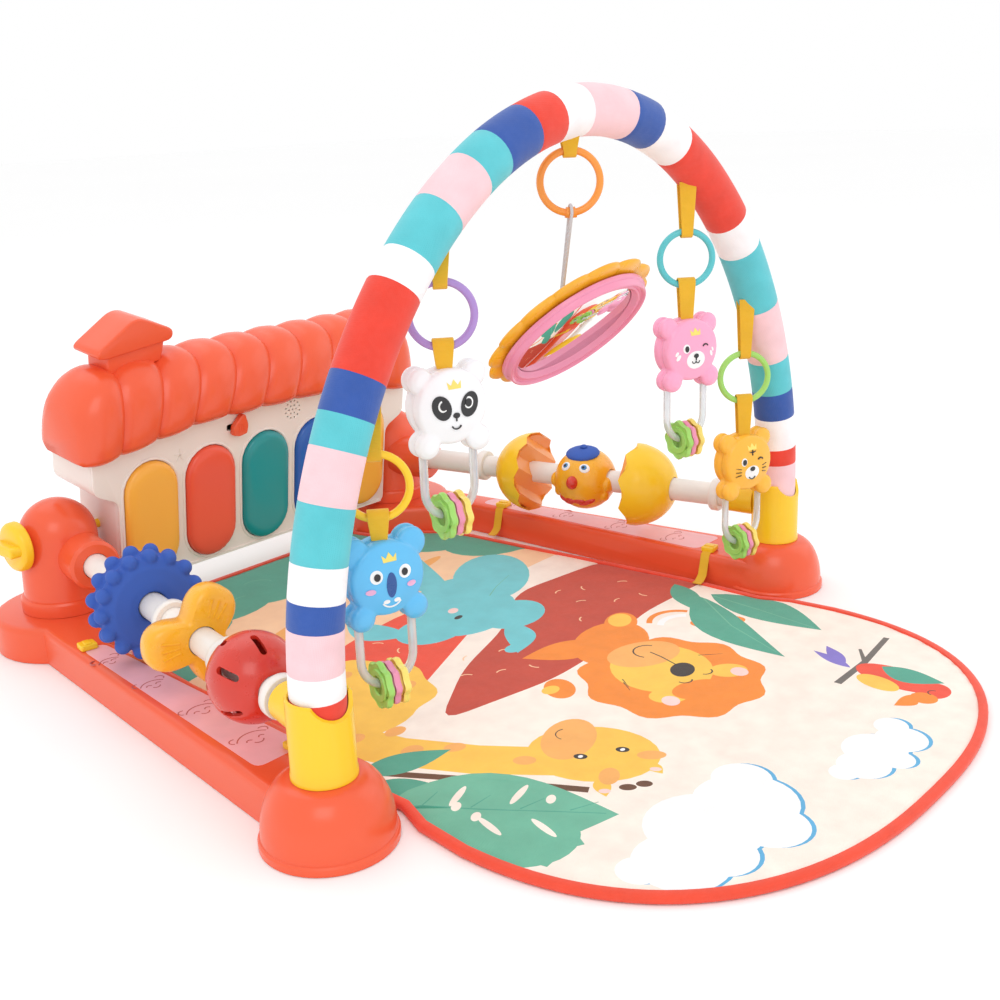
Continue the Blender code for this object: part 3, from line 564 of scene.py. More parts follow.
def gather(parts: Iterable[bmesh.types.BMesh], slots: Sequence[int] = ()) -> bmesh.types.BMesh:
    """Put several solids into one bmesh, each with its own material index where slots are given."""
    whole = bmesh.new()
    for i, part in enumerate(parts):
        if slots:
            for face in part.faces:
                face.material_index = slots[i]
        mesh = bpy.data.meshes.new("part")
        part.to_mesh(mesh)
        part.free()
        whole.from_mesh(mesh)
        bpy.data.meshes.remove(mesh)
    return whole


def loose(bm: bmesh.types.BMesh) -> bpy.types.Object:
    """A bare object for a modifier to work on."""
    mesh = bpy.data.meshes.new("work")
    bm.to_mesh(mesh)
    bm.free()
    obj = bpy.data.objects.new("work", mesh)
    bpy.context.scene.collection.objects.link(obj)
    return obj


def harvest(*objects: bpy.types.Object) -> bmesh.types.BMesh:
    """Take the first object's finished mesh and remove all of them."""
    bm = bmesh.new()
    bm.from_object(objects[0], bpy.context.evaluated_depsgraph_get())
    for obj in objects:
        data = obj.data
        bpy.data.objects.remove(obj)
        bpy.data.meshes.remove(data)
    return bm


def carve(body: bmesh.types.BMesh, tool: bmesh.types.BMesh,
            operation: str = "DIFFERENCE") -> bmesh.types.BMesh:
    """Cut a tool out of a body, or join it on."""
    first, second = loose(body), loose(tool)
    cut = first.modifiers.new("cut", "BOOLEAN")
    cut.object, cut.operation, cut.solver = second, operation, "EXACT"
    return harvest(first, second)


def melt(parts: Iterable[bmesh.types.BMesh], voxel: float, passes: int = 3) -> bmesh.types.BMesh:
    """Blend overlapping solids into one soft skin."""
    obj = loose(gather(parts))
    skin = obj.modifiers.new("skin", "REMESH")
    skin.mode, skin.voxel_size = "VOXEL", voxel
    bm = harvest(obj)
    for _ in range(passes):
        bmesh.ops.smooth_vert(bm, verts=bm.verts, factor=0.5, use_axis_x=True, use_axis_y=True,
            use_axis_z=True)
    return bm


@dataclass
class Piece:
    """What a finished piece is called and belongs to."""

    name: str
    body: str
    slot: str
    nodes: tuple[str, ...] = ()
    sharp: float = 38.0

    def make(self, bm: bmesh.types.BMesh, *finishes: Colour, place: Matrix | None = None,
            outward: bool = True) -> bpy.types.Object:
        """Bake the place in, dress the mesh and hang it on its body.

        Args:
            bm: The shape; it is freed.
            finishes: The finish of each material index.
            place: A matrix baked into the mesh.
            outward: Whether doubles are merged and faces turned out.

        Returns:
            The finished object.
        """
        if place is not None:
            move(bm, place)
        if outward:
            face_outwards(bm)
        mesh = bpy.data.meshes.new(self.name)
        bm.to_mesh(mesh)
        bm.free()
        for finish in finishes:
            mesh.materials.append(finish.value.material())
        mesh.shade_smooth()
        mesh.set_sharp_from_angle(angle=math.radians(self.sharp))
        obj = bpy.data.objects.new(self.name, mesh)
        bpy.context.scene.collection.objects.link(obj)
        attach(obj, self.body)
        if self.nodes:
            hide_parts(*self.nodes)
        LOG.info("%s: %d faces on %s", self.name, len(mesh.polygons), self.body)
        return obj


# ---- side bases ---------------------------------------------------------------------
@dataclass
class SideBase:
    """One side of the stand: a rail with a domed foot, the post, the socket and the spinner shaft."""

    side: int
    foot_x: float = 0.270
    foot_r: float = 0.0443
    foot_h: float = 0.0440
    rail_h: float = 0.0300
    pad_x: float = 0.197
    pad_r: float = 0.060
    post_x: float = 0.195
    post_y: float = 0.425
    post_r: float = 0.0325
    pivot_z: float = 0.0925
    socket_r: float = 0.0212
    socket_top: float = 0.098
    shaft_z: float = 0.078
    shaft_r: float = 0.0105

    @property
    def label(self) -> str:
        """left or right."""
        return "left" if self.side < 0 else "right"

    def along(self, y: float) -> Matrix:
        """A frame on the slanted shaft at y, its Z along the shaft to the rear."""
        rear = Vector((self.side * 0.190, 0.405, self.shaft_z))
        front = Vector((self.side * self.foot_x, 0.0, self.shaft_z))
        way = (rear - front).normalized()
        return Matrix.Translation(front.lerp(rear, y / 0.405)) @ way.to_track_quat("Z",
                "Y").to_matrix().to_4x4()

    def plan(self, inset: float = 0.0) -> list[Point2]:
        """The rail's outline from above."""
        round_end = arc(self.pad_x, self.post_y, self.pad_r - inset, 228.0, -42.0, 26)
        points = [(0.230 + inset, inset), (0.219 + inset, 0.330), *round_end, (0.294 - inset, inset)]
        return [(self.side * x, y) for x, y in points]

    def build(self) -> None:
        """Make every piece of this side."""
        self.rail()
        self.decals()
        self.post()
        self.socket()
        self.shaft()

    def rail(self) -> None:
        """The rail with its rounded rim, a parting step and the domed foot."""
        body = plate(self.plan(), 0.0, self.rail_h)
        rim = [e for e in body.edges if all(v.co.z > self.rail_h - 1e-6 for v in e.verts)]
        bmesh.ops.bevel(body, geom=rim, offset=0.0055, segments=4, affect="EDGES", profile=0.5, material=-1)
        dome = [(0.0, 0.0), (self.foot_r, 0.0), (self.foot_r, 0.0045), (self.foot_r - 0.0008, 0.0058)]
        for i in range(12):
            a = math.radians(90.0 * i / 11)
            dome.append((0.022 + (self.foot_r - 0.0236) * math.cos(a),
                    0.0062 + (self.foot_h - 0.0062) * math.sin(a)))
        dome.append((0.0, self.foot_h))
        foot = spun(dome, 56)
        bmesh.ops.translate(foot, verts=foot.verts, vec=(self.side * self.foot_x, 0, 0))
        whole = carve(body, foot, "UNION")
        under = plate(self.plan(0.0030), -0.010, self.rail_h - 0.0035)
        whole = carve(whole, under)
        Piece(f"{self.label}_rail", "stand", "red_plastic", (f"{self.label}_base",), 30.0).make(whole,
                Colour.RED)

    def decals(self) -> None:
        """A pink strip on the rail's top with simple sleepy faces drawn on it."""
        top = self.rail_h
        inner, outer = ((0.236, 0.060), (0.226, 0.320)), ((0.276, 0.060), (0.244, 0.320))
        strip = soften([(self.side * x, y) for x, y in (*inner, outer[1], outer[0])], 0.008)
        parts, slots = [plate(strip, top - 0.0010, top + 0.0002, bevel=0.0001, steps=1)], [0]
        for i in range(4):
            y = 0.092 + 0.064 * i
            x = self.side * (0.252 - 0.05 * (y - 0.09))
            grow = 1.0 - 0.10 * i
            lines = [arc(x, y - 0.004, 0.0150 * grow, 35, 145), arc(x - 0.005 * grow, y, 0.0022, 10, 170, 6),
                    arc(x + 0.005 * grow, y, 0.0022, 10, 170, 6),
                    arc(x, y - 0.002, 0.0040 * grow, 200, 340, 8),
                    arc(x - 0.012 * grow, y + 0.008, 0.0035, 60, 240, 6),
                    arc(x + 0.012 * grow, y + 0.008, 0.0035, -60, 120, 6)]
            for line in lines:
                parts.append(plate(stroke(line, 0.0009), top - 0.0008, top + 0.00032))
                slots.append(1)
        Piece(f"{self.label}_decals", "stand", "pink_plastic").make(gather(parts, slots), Colour.DECAL,
                Colour.DECAL_LINE, outward=False)

    def post(self) -> None:
        """The domed post with a stepped collar and the short arm that takes the shaft."""
        low = self.rail_h + 0.0003
        outline = [(0.0, low), (0.0375, low), (0.0375, 0.0405), (0.0362, 0.0424), (0.0345, 0.0430),
                (0.0343, 0.0450), (self.post_r, self.pivot_z)]
        for i in range(1, 13):
            a = math.radians(90.0 * i / 12)
            outline.append((self.post_r * math.cos(a), self.pivot_z + self.post_r * math.sin(a)))
        body = spun(outline, 56)
        bmesh.ops.translate(body, verts=body.verts, vec=(self.side * self.post_x, self.post_y, 0))
        arm = spun([(0, -0.022), (0.0185, -0.022), (0.0210, -0.0195), (0.0213, 0.020), (0, 0.020)], 36)
        move(arm, self.along(0.385))
        whole = carve(body, arm, "UNION")
        bore = spun([(0, -0.030), (self.shaft_r + 0.0005, -0.030), (self.shaft_r + 0.0005, -0.012),
                (0, -0.012)], 32)
        move(bore, self.along(0.385))
        whole = carve(whole, bore)
        Piece(f"{self.label}_tower", "stand", "red_plastic", (f"{self.label}_post",), 30.0).make(whole,
                Colour.RED)

    def socket(self) -> None:
        """The yellow socket: a cup with a low front lip, higher back and the shaft's boss."""
        low, lip = self.foot_h + 0.0003, 0.0012
        cup = [(0.0, low), (self.socket_r, low), (self.socket_r, low + 0.003),
                (self.socket_r - 0.0006, low + 0.005),
               (self.socket_r - 0.0006, self.socket_top - lip), (self.socket_r - 0.0014, self.socket_top),
               (0.0190, self.socket_top), (0.0181, self.socket_top - lip), (0.0181, 0.0512), (0.0, 0.0512)]
        body = spun(cup, 48)
        scoop = ball((0.0, -0.030, self.socket_top + 0.006), (0.030, 0.024, 0.020), 32)
        body = carve(body, scoop)
        bmesh.ops.translate(body, verts=body.verts, vec=(self.side * self.foot_x, 0, 0))
        boss = spun([(0.0116, 0.0065), (0.0116, 0.0235), (0.0126, 0.0245), (0.0135, 0.0235), (0.0140, 0.0065),
                (0.0116, 0.0065)], 36)
        move(boss, self.along(0.0175))
        flange = spun([(0.0, 0.0), (0.0140, 0.0), (0.0140, 0.0070), (0.0, 0.0070)], 36)
        move(flange, self.along(0.0175))
        core = spun([(0, 0.048), (0.0182, 0.048), (0.0182, 0.12), (0, 0.12)], 48)
        bmesh.ops.translate(core, verts=core.verts, vec=(self.side * self.foot_x, 0, 0.0032))
        flange = carve(flange, core)
        whole = gather([body, boss, flange])
        Piece(f"{self.label}_cup", "stand", "yellow_plastic", (f"{self.label}_socket",), 32.0).make(whole,
                Colour.YELLOW)

    def shaft(self) -> None:
        """The off-white shaft with a wider shoulder at each end."""
        start, end = self.along(0.026), self.along(0.372).translation
        long = (end - start.translation).length
        r = self.shaft_r
        line = [(0.0085, 0.0), (r, 0.0), (r, long), (0.0085, long), (0.0085, 0.0)]
        Piece(f"{self.label}_spinner_shaft", "stand", "white_plastic", (f"{self.label}_shaft",)).make(
            spun(line, 40), Colour.SHAFT, place=start)
        collars = []
        for spot in self.collar_spots():
            ring = spun([(r + 0.0002, -0.004), (0.0142, -0.004), (0.0150, -0.0028), (0.0150, 0.0028),
                (0.0142, 0.004),
                    (r + 0.0002, 0.004), (r + 0.0002, -0.004)], 36)
            move(ring, self.along(spot))
            collars.append(ring)
        Piece(f"{self.label}_collars", "stand", "white_plastic").make(gather(collars), Colour.SHAFT)

    def collar_spots(self) -> tuple[float, ...]:
        """Where white collars sit on the shaft, as y values."""
        return (0.048, 0.124, 0.214, 0.300) if self.side < 0 else (0.054, 0.300)

    def build_knob(self) -> None:
        """The yellow lock knob with its grip, on the piano's pivot."""
        cap = self.post_r + 0.0016
        inside = -(self.post_x - 0.1565 + 0.004)
        disc = spun([(0, inside), (0.0040, inside), (0.0040, cap), (0.0205, cap), (0.0212, cap + 0.0010),
                (0.0210, cap + 0.0062), (0.0196, cap + 0.0084), (0.0168, cap + 0.0098), (0, cap + 0.0102)],
                48)
        wing = plate(soften([(-0.0045, -0.0178), (0.0045, -0.0178), (0.0045, 0.0178), (-0.0045, 0.0178)],
                0.004),
                cap + 0.004, cap + 0.0188, bevel=0.0016)
        place = shift(self.side * self.post_x, self.post_y, self.pivot_z) @ turn(90.0 * self.side, "Y")
        Piece(f"{self.label}_lock", f"{self.label}_knob", "yellow_plastic", (f"{self.label}_knob",),
                32.0).make(
            carve(disc, wing, "UNION"), Colour.YELLOW, place=place)


# ---- arch ---------------------------------------------------------------------------
MIRROR_RING = (-0.018, 0.379)  # x and height of the mirror ring's centre
STRIPES = (
    ("red", 42), ("white", 16), ("pink", 27), ("blue", 17), ("white", 22), ("teal", 35), ("pink", 32),
        ("teal", 20),
    ("blue", 24), ("red", 57), ("white", 21), ("teal", 37), ("pink", 35), ("teal", 24), ("blue", 34),
        ("red", 27),
    ("white", 29), ("pink", 50), ("blue", 32), ("white", 36), ("red", 97), ("white", 32), ("teal", 60),
        ("pink", 52),
    ("teal", 31), ("blue", 25), ("white", 29), ("red", 15), ("pink", 60),
)
BAND_FINISH = {"red": Colour.SLEEVE_RED, "white": Colour.SLEEVE_WHITE, "pink": Colour.SLEEVE_PINK,
        "blue": Colour.SLEEVE_BLUE, "teal": Colour.SLEEVE_TEAL}


@dataclass
class Arch:
    """The tube in its striped sleeve, with a ribbon loop for each hanging ring."""

    half: float = 0.270
    spring: float = 0.098
    rise: float = 0.327
    power: float = 1.93
    foot: float = 0.055
    radius: float = 0.0175
    seam: float = 0.0007
    seam_depth: float = 0.984
    ring_r: float = 0.0205
    yaw: float = -42.0

    def route(self, gap: float = 0.002) -> list[tuple[float, Vector]]:
        """Distance along the sleeve and the point there, from the left foot to the right."""
        points = [Vector((-self.half, 0, self.foot))]
        count = 900
        for i in range(count + 1):
            t = math.pi * (1.0 - i / count)
            x = self.half * math.copysign(abs(math.cos(t)) ** (2 / self.power), math.cos(t))
            points.append(Vector((x, 0, self.spring + self.rise * max(math.sin(t), 0.0) ** (2 / self.power))))
        points.append(Vector((self.half, 0, self.foot)))
        out, far = [(0.0, points[0])], 0.0
        for a, b in zip(points, points[1:]):
            steps = max(1, round((b - a).length / gap))
            for k in range(1, steps + 1):
                spot = a.lerp(b, k / steps)
                out.append((far + (spot - a).length, spot))
            far += (b - a).length
        return out

    def at(self, distance: float, route: list[tuple[float, Vector]]) -> tuple[Vector, Vector]:
        """The point and direction at a distance along the route."""
        for (a, p), (b, q) in zip(route, route[1:]):
            if b >= distance:
                return p.lerp(q, (distance - a) / max(b - a, 1e-9)), (q - p).normalized()
        return route[-1][1], Vector((0, 0, -1))

    def build(self) -> None:
        """Make the sleeve and its loops."""
        self.sleeve()
        for name, x, ring_z in [(t.name, t.x, t.ring_z) for t in TOYS] + [("mirror", *MIRROR_RING)]:
            self.loop(name, x, ring_z)

    def sleeve(self) -> None:
        """One skin whose loops fall exactly on the stripe seams."""
        route = self.route()
        whole = route[-1][0]
        stops, slots = [(0.0, 1.0)], []
        names = list(BAND_FINISH)
        start = 0.0
        for i, (colour, length) in enumerate(STRIPES):
            end = whole if i == len(STRIPES) - 1 else start + length / 1000.0
            span = end - start
            count = max(2, round(span / 0.007))
            shares = [self.seam / span] + [k / count for k in range(1, count)] + [1.0 - self.seam / span, 1.0]
            for share in shares:
                stops.append((start + span * share, self.seam_depth if share == 1.0 else 1.0))
                slots.append(names.index(colour))
            start = end
        loops = []
        for distance, swell in stops:
            spot, way = self.at(distance, route)
            side = Vector((way.z, 0, -way.x))
            ruck = 1.0 + 0.003 * noise.noise(Vector((distance * 40.0, 0.0, 3.0)))
            r = self.radius * swell * ruck * 0.995
            loops.append([spot + side * r * math.cos(TAU * k / 28) + Vector((0, 1,
                    0)) * r * math.sin(TAU * k / 28)
                    for k in range(28)])
        skin = loft(loops, slots=slots)
        piece = Piece("striped_sleeve", "arch", "striped_sleeve", ("arch_sleeve",), 60.0)
        piece.make(skin, *BAND_FINISH.values())

    def loop(self, name: str, x: float, ring_z: float) -> None:
        """A ribbon from the sleeve, down round the ring's top and back."""
        ring_top = ring_z + self.ring_r
        low = ring_top - 0.0048
        part = abs(x) / self.half
        root = (1.0 - part ** self.power) ** (1.0 / self.power)
        slope = self.rise / self.half * (part / root) ** (self.power - 1.0)
        high = self.spring + self.rise * root - (self.radius - 0.004) * math.hypot(1.0, slope)
        path, widths = [], []
        for i in range(13):
            t = i / 12.0
            path.append(Vector((0.0044 * (1.0 - 0.15 * t) if t < 1 else 0.0037, 0,
                    high + (low + 0.004 - high) * t)))
            widths.append(0.0135 - 0.0045 * t)
        bend = [Vector((0.0037 * math.cos(a), 0, low + 0.004 - 0.0037 * math.sin(a)))
                for a in [math.pi * k / 10 for k in range(1, 10)]]
        back = [Vector((-p.x, 0, p.z)) for p in reversed(path)]
        route = path + bend + back
        sizes = widths + [0.0090] * 9 + widths[::-1]
        band = ribbon(route, sizes, 0.0010, Vector((0, 1, 0)))
        Piece(f"{name}_loop", "arch", "webbing", sharp=50.0).make(
            band, Colour.RIBBON, place=shift(x, 0, 0) @ turn(self.yaw + 90.0, "Z"))


# ---- hanging toys -------------------------------------------------------------------
class Look(Enum):
    """The four faces."""

    KOALA = "koala"
    PANDA = "panda"
    BEAR = "bear"
    TIGER = "tiger"


@dataclass
class Toy:
    """A ring, a ribbon, a clear animal rattle and three flower discs on its hoop."""

    look: Look
    x: float
    ring_z: float
    ring_finish: Colour
    ring_slot: str
    head_finish: Colour
    head_slot: str
    gap: float = 0.010
    ring_r: float = 0.0205
    wire: float = 0.0025
    ring_yaw: float = -42.0
    yaw: float = -16.0
    head_r: float = 0.0260
    hoop_r: float = 0.0185
    hoop_wire: float = 0.0028

    @property
    def name(self) -> str:
        """The toy's name."""
        return self.look.value

    @property
    def middle(self) -> float:
        """Height of the head's middle, from the ring's lowest point."""
        return -self.gap - 0.0003 - self.head_r

    @property
    def hoop_top(self) -> float:
        """Height at which the hoop's legs leave the paws."""
        return self.middle - 0.0286

    @property
    def hoop_low(self) -> float:
        """Height of the hoop's centre."""
        return self.hoop_top - 0.0260

    @property
    def place(self) -> Matrix:
        """The rattle's frame: its origin is the ring's lowest point."""
        return shift(self.x, 0, self.ring_z - self.ring_r) @ turn(self.yaw, "Z")

    def build(self) -> None:
        """Make the whole toy."""
        self.ring()
        self.strap()
        tree = self.head()
        self.face(tree)
        self.hoop()
        self.discs()

    def ring(self) -> None:
        """A plain glossy ring."""
        path = [Vector((self.ring_r * math.cos(TAU * i / 56), 0, self.ring_r * math.sin(TAU * i / 56)))
                for i in range(56)]
        Piece(f"{self.name}_link", f"{self.name}_ring", self.ring_slot, (f"{self.name}_ring",), 60.0).make(
            bar(path, self.wire, 16, True), self.ring_finish,
            place=shift(self.x, 0, self.ring_z) @ turn(self.ring_yaw, "Z"))

    def strap(self) -> None:
        """A ribbon folded over the ring's bottom, narrowing to the head."""
        top, bottom, turn_r = 0.0056, -self.gap - 0.0025, 0.0040
        side = [Vector((turn_r, 0, bottom + (top - turn_r - bottom) * i / 8)) for i in range(9)]
        over = [Vector((turn_r * math.cos(math.pi * k / 10), 0,
                top - turn_r + turn_r * math.sin(math.pi * k / 10)))
                for k in range(1, 10)]
        route = side + over + [Vector((-p.x, 0, p.z)) for p in reversed(side)]
        widths = [0.0100 + 0.0034 * i / 8 for i in range(9)]
        sizes = widths + [0.0136] * 9 + widths[::-1]
        band = ribbon(route, sizes, 0.0011, Vector((0, 1, 0)))
        place = shift(self.x, 0, self.ring_z - self.ring_r) @ turn(self.ring_yaw + 90.0, "Z")
        Piece(f"{self.name}_ribbon", f"{self.name}_rattle", "webbing", (f"{self.name}_strap",), 50.0).make(
            band, Colour.RIBBON, place=place)

    def drum(self, x: float, y: float, z: float, radius: float, half: float,
                crown: float = 0.0) -> bmesh.types.BMesh:
        """A thick round cheese with ribs on its side, lying along Y."""
        rim = min(0.0035, half * 0.45)
        line = [(0.0, -half - crown), (radius * 0.55, -half - crown * 0.7), (radius - rim, -half)]
        line += [(radius - rim * (1 - math.sin(a)), -half + rim * (1 - math.cos(a)))
                for a in (math.radians(30), math.radians(60), math.radians(90))]
        line += [(radius, -0.0022), (radius - 0.0016, -0.0008), (radius - 0.0016, 0.0008), (radius, 0.0022)]
        line += [(r, -z) for r, z in reversed(line[1:6])] + [(0.0, half + crown * 0.5)]
        bm = spun(line, 40)
        move(bm, shift(x, y, z) @ turn(-90.0, "X"))
        return bm

    def head(self) -> BVHTree:
        """The clear head with ears and paws, melted into one skin."""
        skull = self.drum(0, 0, 0, self.head_r, 0.0100, 0.0030)
        squeeze = shift(0, 0, self.middle) @ Matrix.Diagonal((0.98, 1.0, 0.93, 1.0))
        move(skull, squeeze)
        parts = [skull]
        ear = 0.0102 if self.look is Look.KOALA else 0.0086
        for side in (-1, 1):
            parts.append(self.drum(side * 0.0195, 0.001, self.middle + 0.0180, ear, 0.0072, 0.0010))
            parts.append(self.drum(side * 0.0185, -0.0025, self.middle - 0.0228, 0.0086, 0.0080, 0.0012))
            parts.append(ball((side * 0.0150, -0.0010, self.middle - 0.0170), (0.0070, 0.0065, 0.0075)))
        skin = melt(parts, 0.0009, 2)
        tree = BVHTree.FromBMesh(skin)
        Piece(f"{self.name}_rattle_head", f"{self.name}_rattle", self.head_slot, (f"{self.name}_head",),
                80.0).make(
            skin, self.head_finish, place=self.place)
        return tree

    def inlay(self, tree: BVHTree, outline: Sequence[Point2], proud: float = 0.0003) -> bmesh.types.BMesh:
        """A printed shape lying on the front of the head."""
        front, back = [], []
        for x, z in outline:
            hit = tree.ray_cast(Vector((x, -0.05, z + self.middle)), Vector((0, 1, 0)))[0]
            y = hit.y if hit else -0.012
            front.append(Vector((x, y - proud, z + self.middle)))
            back.append(Vector((x, y + 0.0012, z + self.middle)))
        return loft([front, back])

    def face(self, tree: BVHTree) -> None:
        """Eyes, nose, mouth and the small crown, printed in layers."""
        marks: list[tuple[int, list[Point2]]] = []
        crown = [(-0.0045, 0.0120), (-0.0050, 0.0165), (-0.0025, 0.0142), (0.0, 0.0178), (0.0025, 0.0142),
                (0.0050, 0.0165), (0.0045, 0.0120)]
        marks.append((2, crown))
        smile = stroke(arc(0.0, -0.0100, 0.0036, 205, 335, 8), 0.0008)
        match self.look:
            case Look.KOALA:
                for s in (-1, 1):
                    marks += [(0, oval(s * 0.0098, 0.0040, 0.0042, 0.0044)),
                        (1, oval(s * 0.0094, 0.0038, 0.0021, 0.0024)),
                            (4, oval(s * 0.0140, -0.0050, 0.0032, 0.0018)),
                            (0, oval(s * 0.0036, -0.0135, 0.0022, 0.0014))]
                marks += [(3, oval(0.0, -0.0030, 0.0034, 0.0082)),
                            (0, stroke(arc(0, -0.0100, 0.0075, 215, 325, 8), 0.0010)),
                        (0, oval(-0.0088, 0.0046, 0.0007, 0.0007)), (0, oval(0.0100, 0.0046, 0.0007, 0.0007))]
            case Look.PANDA:
                for s in (-1, 1):
                    marks += [(1, oval(s * 0.0100, 0.0010, 0.0062, 0.0082, -s * 24)),
                            (0, oval(s * 0.0092, 0.0022, 0.0034, 0.0038)),
                            (1, oval(s * 0.0090, 0.0022, 0.0024, 0.0027)),
                            (0, oval(s * 0.0084, 0.0032, 0.0008, 0.0008))]
                marks += [(1, oval(0.0, -0.0048, 0.0024, 0.0018)),
                            (1, stroke([(0, -0.005), (0, -0.0085)], 0.0008)),
                        (1, smile)]
            case Look.BEAR:
                marks += [(0, oval(0.0, -0.0072, 0.0090, 0.0070)), (1, oval(0.0, -0.0040, 0.0022, 0.0018)),
                        (1, stroke([(0, -0.004), (0, -0.0075)], 0.0007)),
                        (1, stroke(arc(-0.0018, -0.0080, 0.0018, 180, 360, 6), 0.0007)),
                        (1, stroke(arc(0.0018, -0.0080, 0.0018, 180, 360, 6), 0.0007)),
                        (0, oval(-0.0095, 0.0024, 0.0032, 0.0036)),
                        (1, oval(-0.0092, 0.0022, 0.0018, 0.0024)),
                        (0, oval(-0.0087, 0.0031, 0.0006, 0.0006)),
                        (1, stroke(arc(0.0095, 0.0012, 0.0030, 30, 150, 7), 0.0010))]
                for s in (-1, 1):
                    marks += [(0, oval(s * 0.0165, -0.0040, 0.0014, 0.0026, s * 30)),
                            (0, oval(s * 0.0180, -0.0010, 0.0010, 0.0020, s * 30))]
            case Look.TIGER:
                marks += [(0, oval(0.0, -0.0078, 0.0078, 0.0060)), (1, oval(0.0, -0.0046, 0.0026, 0.0020)),
                        (1, smile), (0, oval(-0.0090, 0.0024, 0.0030, 0.0036)),
                        (1, oval(-0.0088, 0.0022, 0.0020, 0.0026)),
                        (0, oval(-0.0083, 0.0030, 0.0007, 0.0007)),
                        (1, stroke(arc(0.0090, 0.0010, 0.0030, 30, 150, 7), 0.0010)),
                        (1, stroke([(0, 0.0120), (0, 0.0072)], 0.0010))]
                for s in (-1, 1):
                    marks.append((1, stroke([(s * 0.0006, 0.0098), (s * 0.0036, 0.0106)], 0.0009, 0.4)))
                    for k in (-1, 0, 1):
                        z = -0.0060 + 0.0026 * k
                        marks.append((1, stroke([(s * 0.0120, z), (s * 0.0170, z + 0.0012 * k)], 0.0006,
                                0.4)))
        parts = [self.inlay(tree, outline, 0.00025 + 0.00012 * (i % 4) + (0.0003 if slot == 1 else 0.0))
                for i, (slot, outline) in enumerate(marks)]
        Piece(f"{self.name}_face", f"{self.name}_rattle", self.head_slot).make(
            gather(parts, [slot for slot, _ in marks]), Colour.WHITE, Colour.BLACK, Colour.PALE_YELLOW,
                Colour.NAVY,
            Colour.BLUSH, place=self.place, outward=False)

    def hoop(self) -> None:
        """The clear loop from paw to paw."""
        drop = self.hoop_low - self.hoop_top
        legs = [Vector((self.hoop_r, 0, self.hoop_top + drop * i / 6)) for i in range(6)]
        bend = [Vector((self.hoop_r * math.cos(a), 0, self.hoop_low + self.hoop_r * math.sin(a)))
                for a in [-math.pi * k / 24 for k in range(25)]]
        path = legs + bend + [Vector((-p.x, 0, p.z)) for p in reversed(legs)]
        Piece(f"{self.name}_loop_bar", f"{self.name}_rattle", "clear_white_plastic", (f"{self.name}_hoop",),
                60.0).make(
            bar(path, self.hoop_wire, 16), Colour.CLEAR_HOOP, place=self.place)

    def discs(self) -> None:
        """Three scalloped flowers threaded on the hoop."""
        place = self.place @ shift(0, 0, self.hoop_low - self.hoop_r) @ turn(90.0, "Y")
        parts = []
        for low, lobes, reach in ((-0.0085, 8, 0.0162), (-0.0025, 8, 0.0150), (0.0035, 8, 0.0158)):
            line = [(0.0060, 0.0008), (0.0068, 0.0), (0.0105, -0.0002), (0.0110, 0.0010),
                (0.86 * reach, 0.0010),
                    (0.94 * reach, 0.0004), (reach, 0.0016), (reach, 0.0034), (0.94 * reach, 0.0048),
                    (0.0068, 0.0050), (0.0060, 0.0042)]
            loops = []
            for radius, z in line:
                dip = 0.0 if radius < 0.010 else 0.13 * (radius - 0.0095) / (reach - 0.0095)
                loops.append([Vector((x, y, low + z)) for x, y in scallop(0, 0, radius, lobes, dip, 7)])
            parts.append(loft(loops, closed=True))
        Piece(f"{self.name}_flowers", f"{self.name}_discs", "green_plastic", (f"{self.name}_discs",),
                    40.0).make(
            gather(parts, (0, 1, 2)), Colour.GREEN, Colour.PINK, Colour.PALE_YELLOW, place=place,
                outward=False)


TOYS = (
    Toy(Look.KOALA, -0.212, 0.213, Colour.YELLOW, "yellow_plastic", Colour.CLEAR_BLUE, "clear_blue_plastic"),
    Toy(Look.PANDA, -0.148, 0.308, Colour.PURPLE, "purple_plastic", Colour.CLEAR_WHITE,
        "clear_white_plastic"),
    Toy(Look.BEAR, 0.123, 0.312, Colour.TEAL, "teal_plastic", Colour.CLEAR_PINK, "clear_pink_plastic", 0.023),
    Toy(Look.TIGER, 0.212, 0.203, Colour.GREEN, "green_plastic", Colour.CLEAR_ORANGE, "clear_orange_plastic",
        0.026),
)


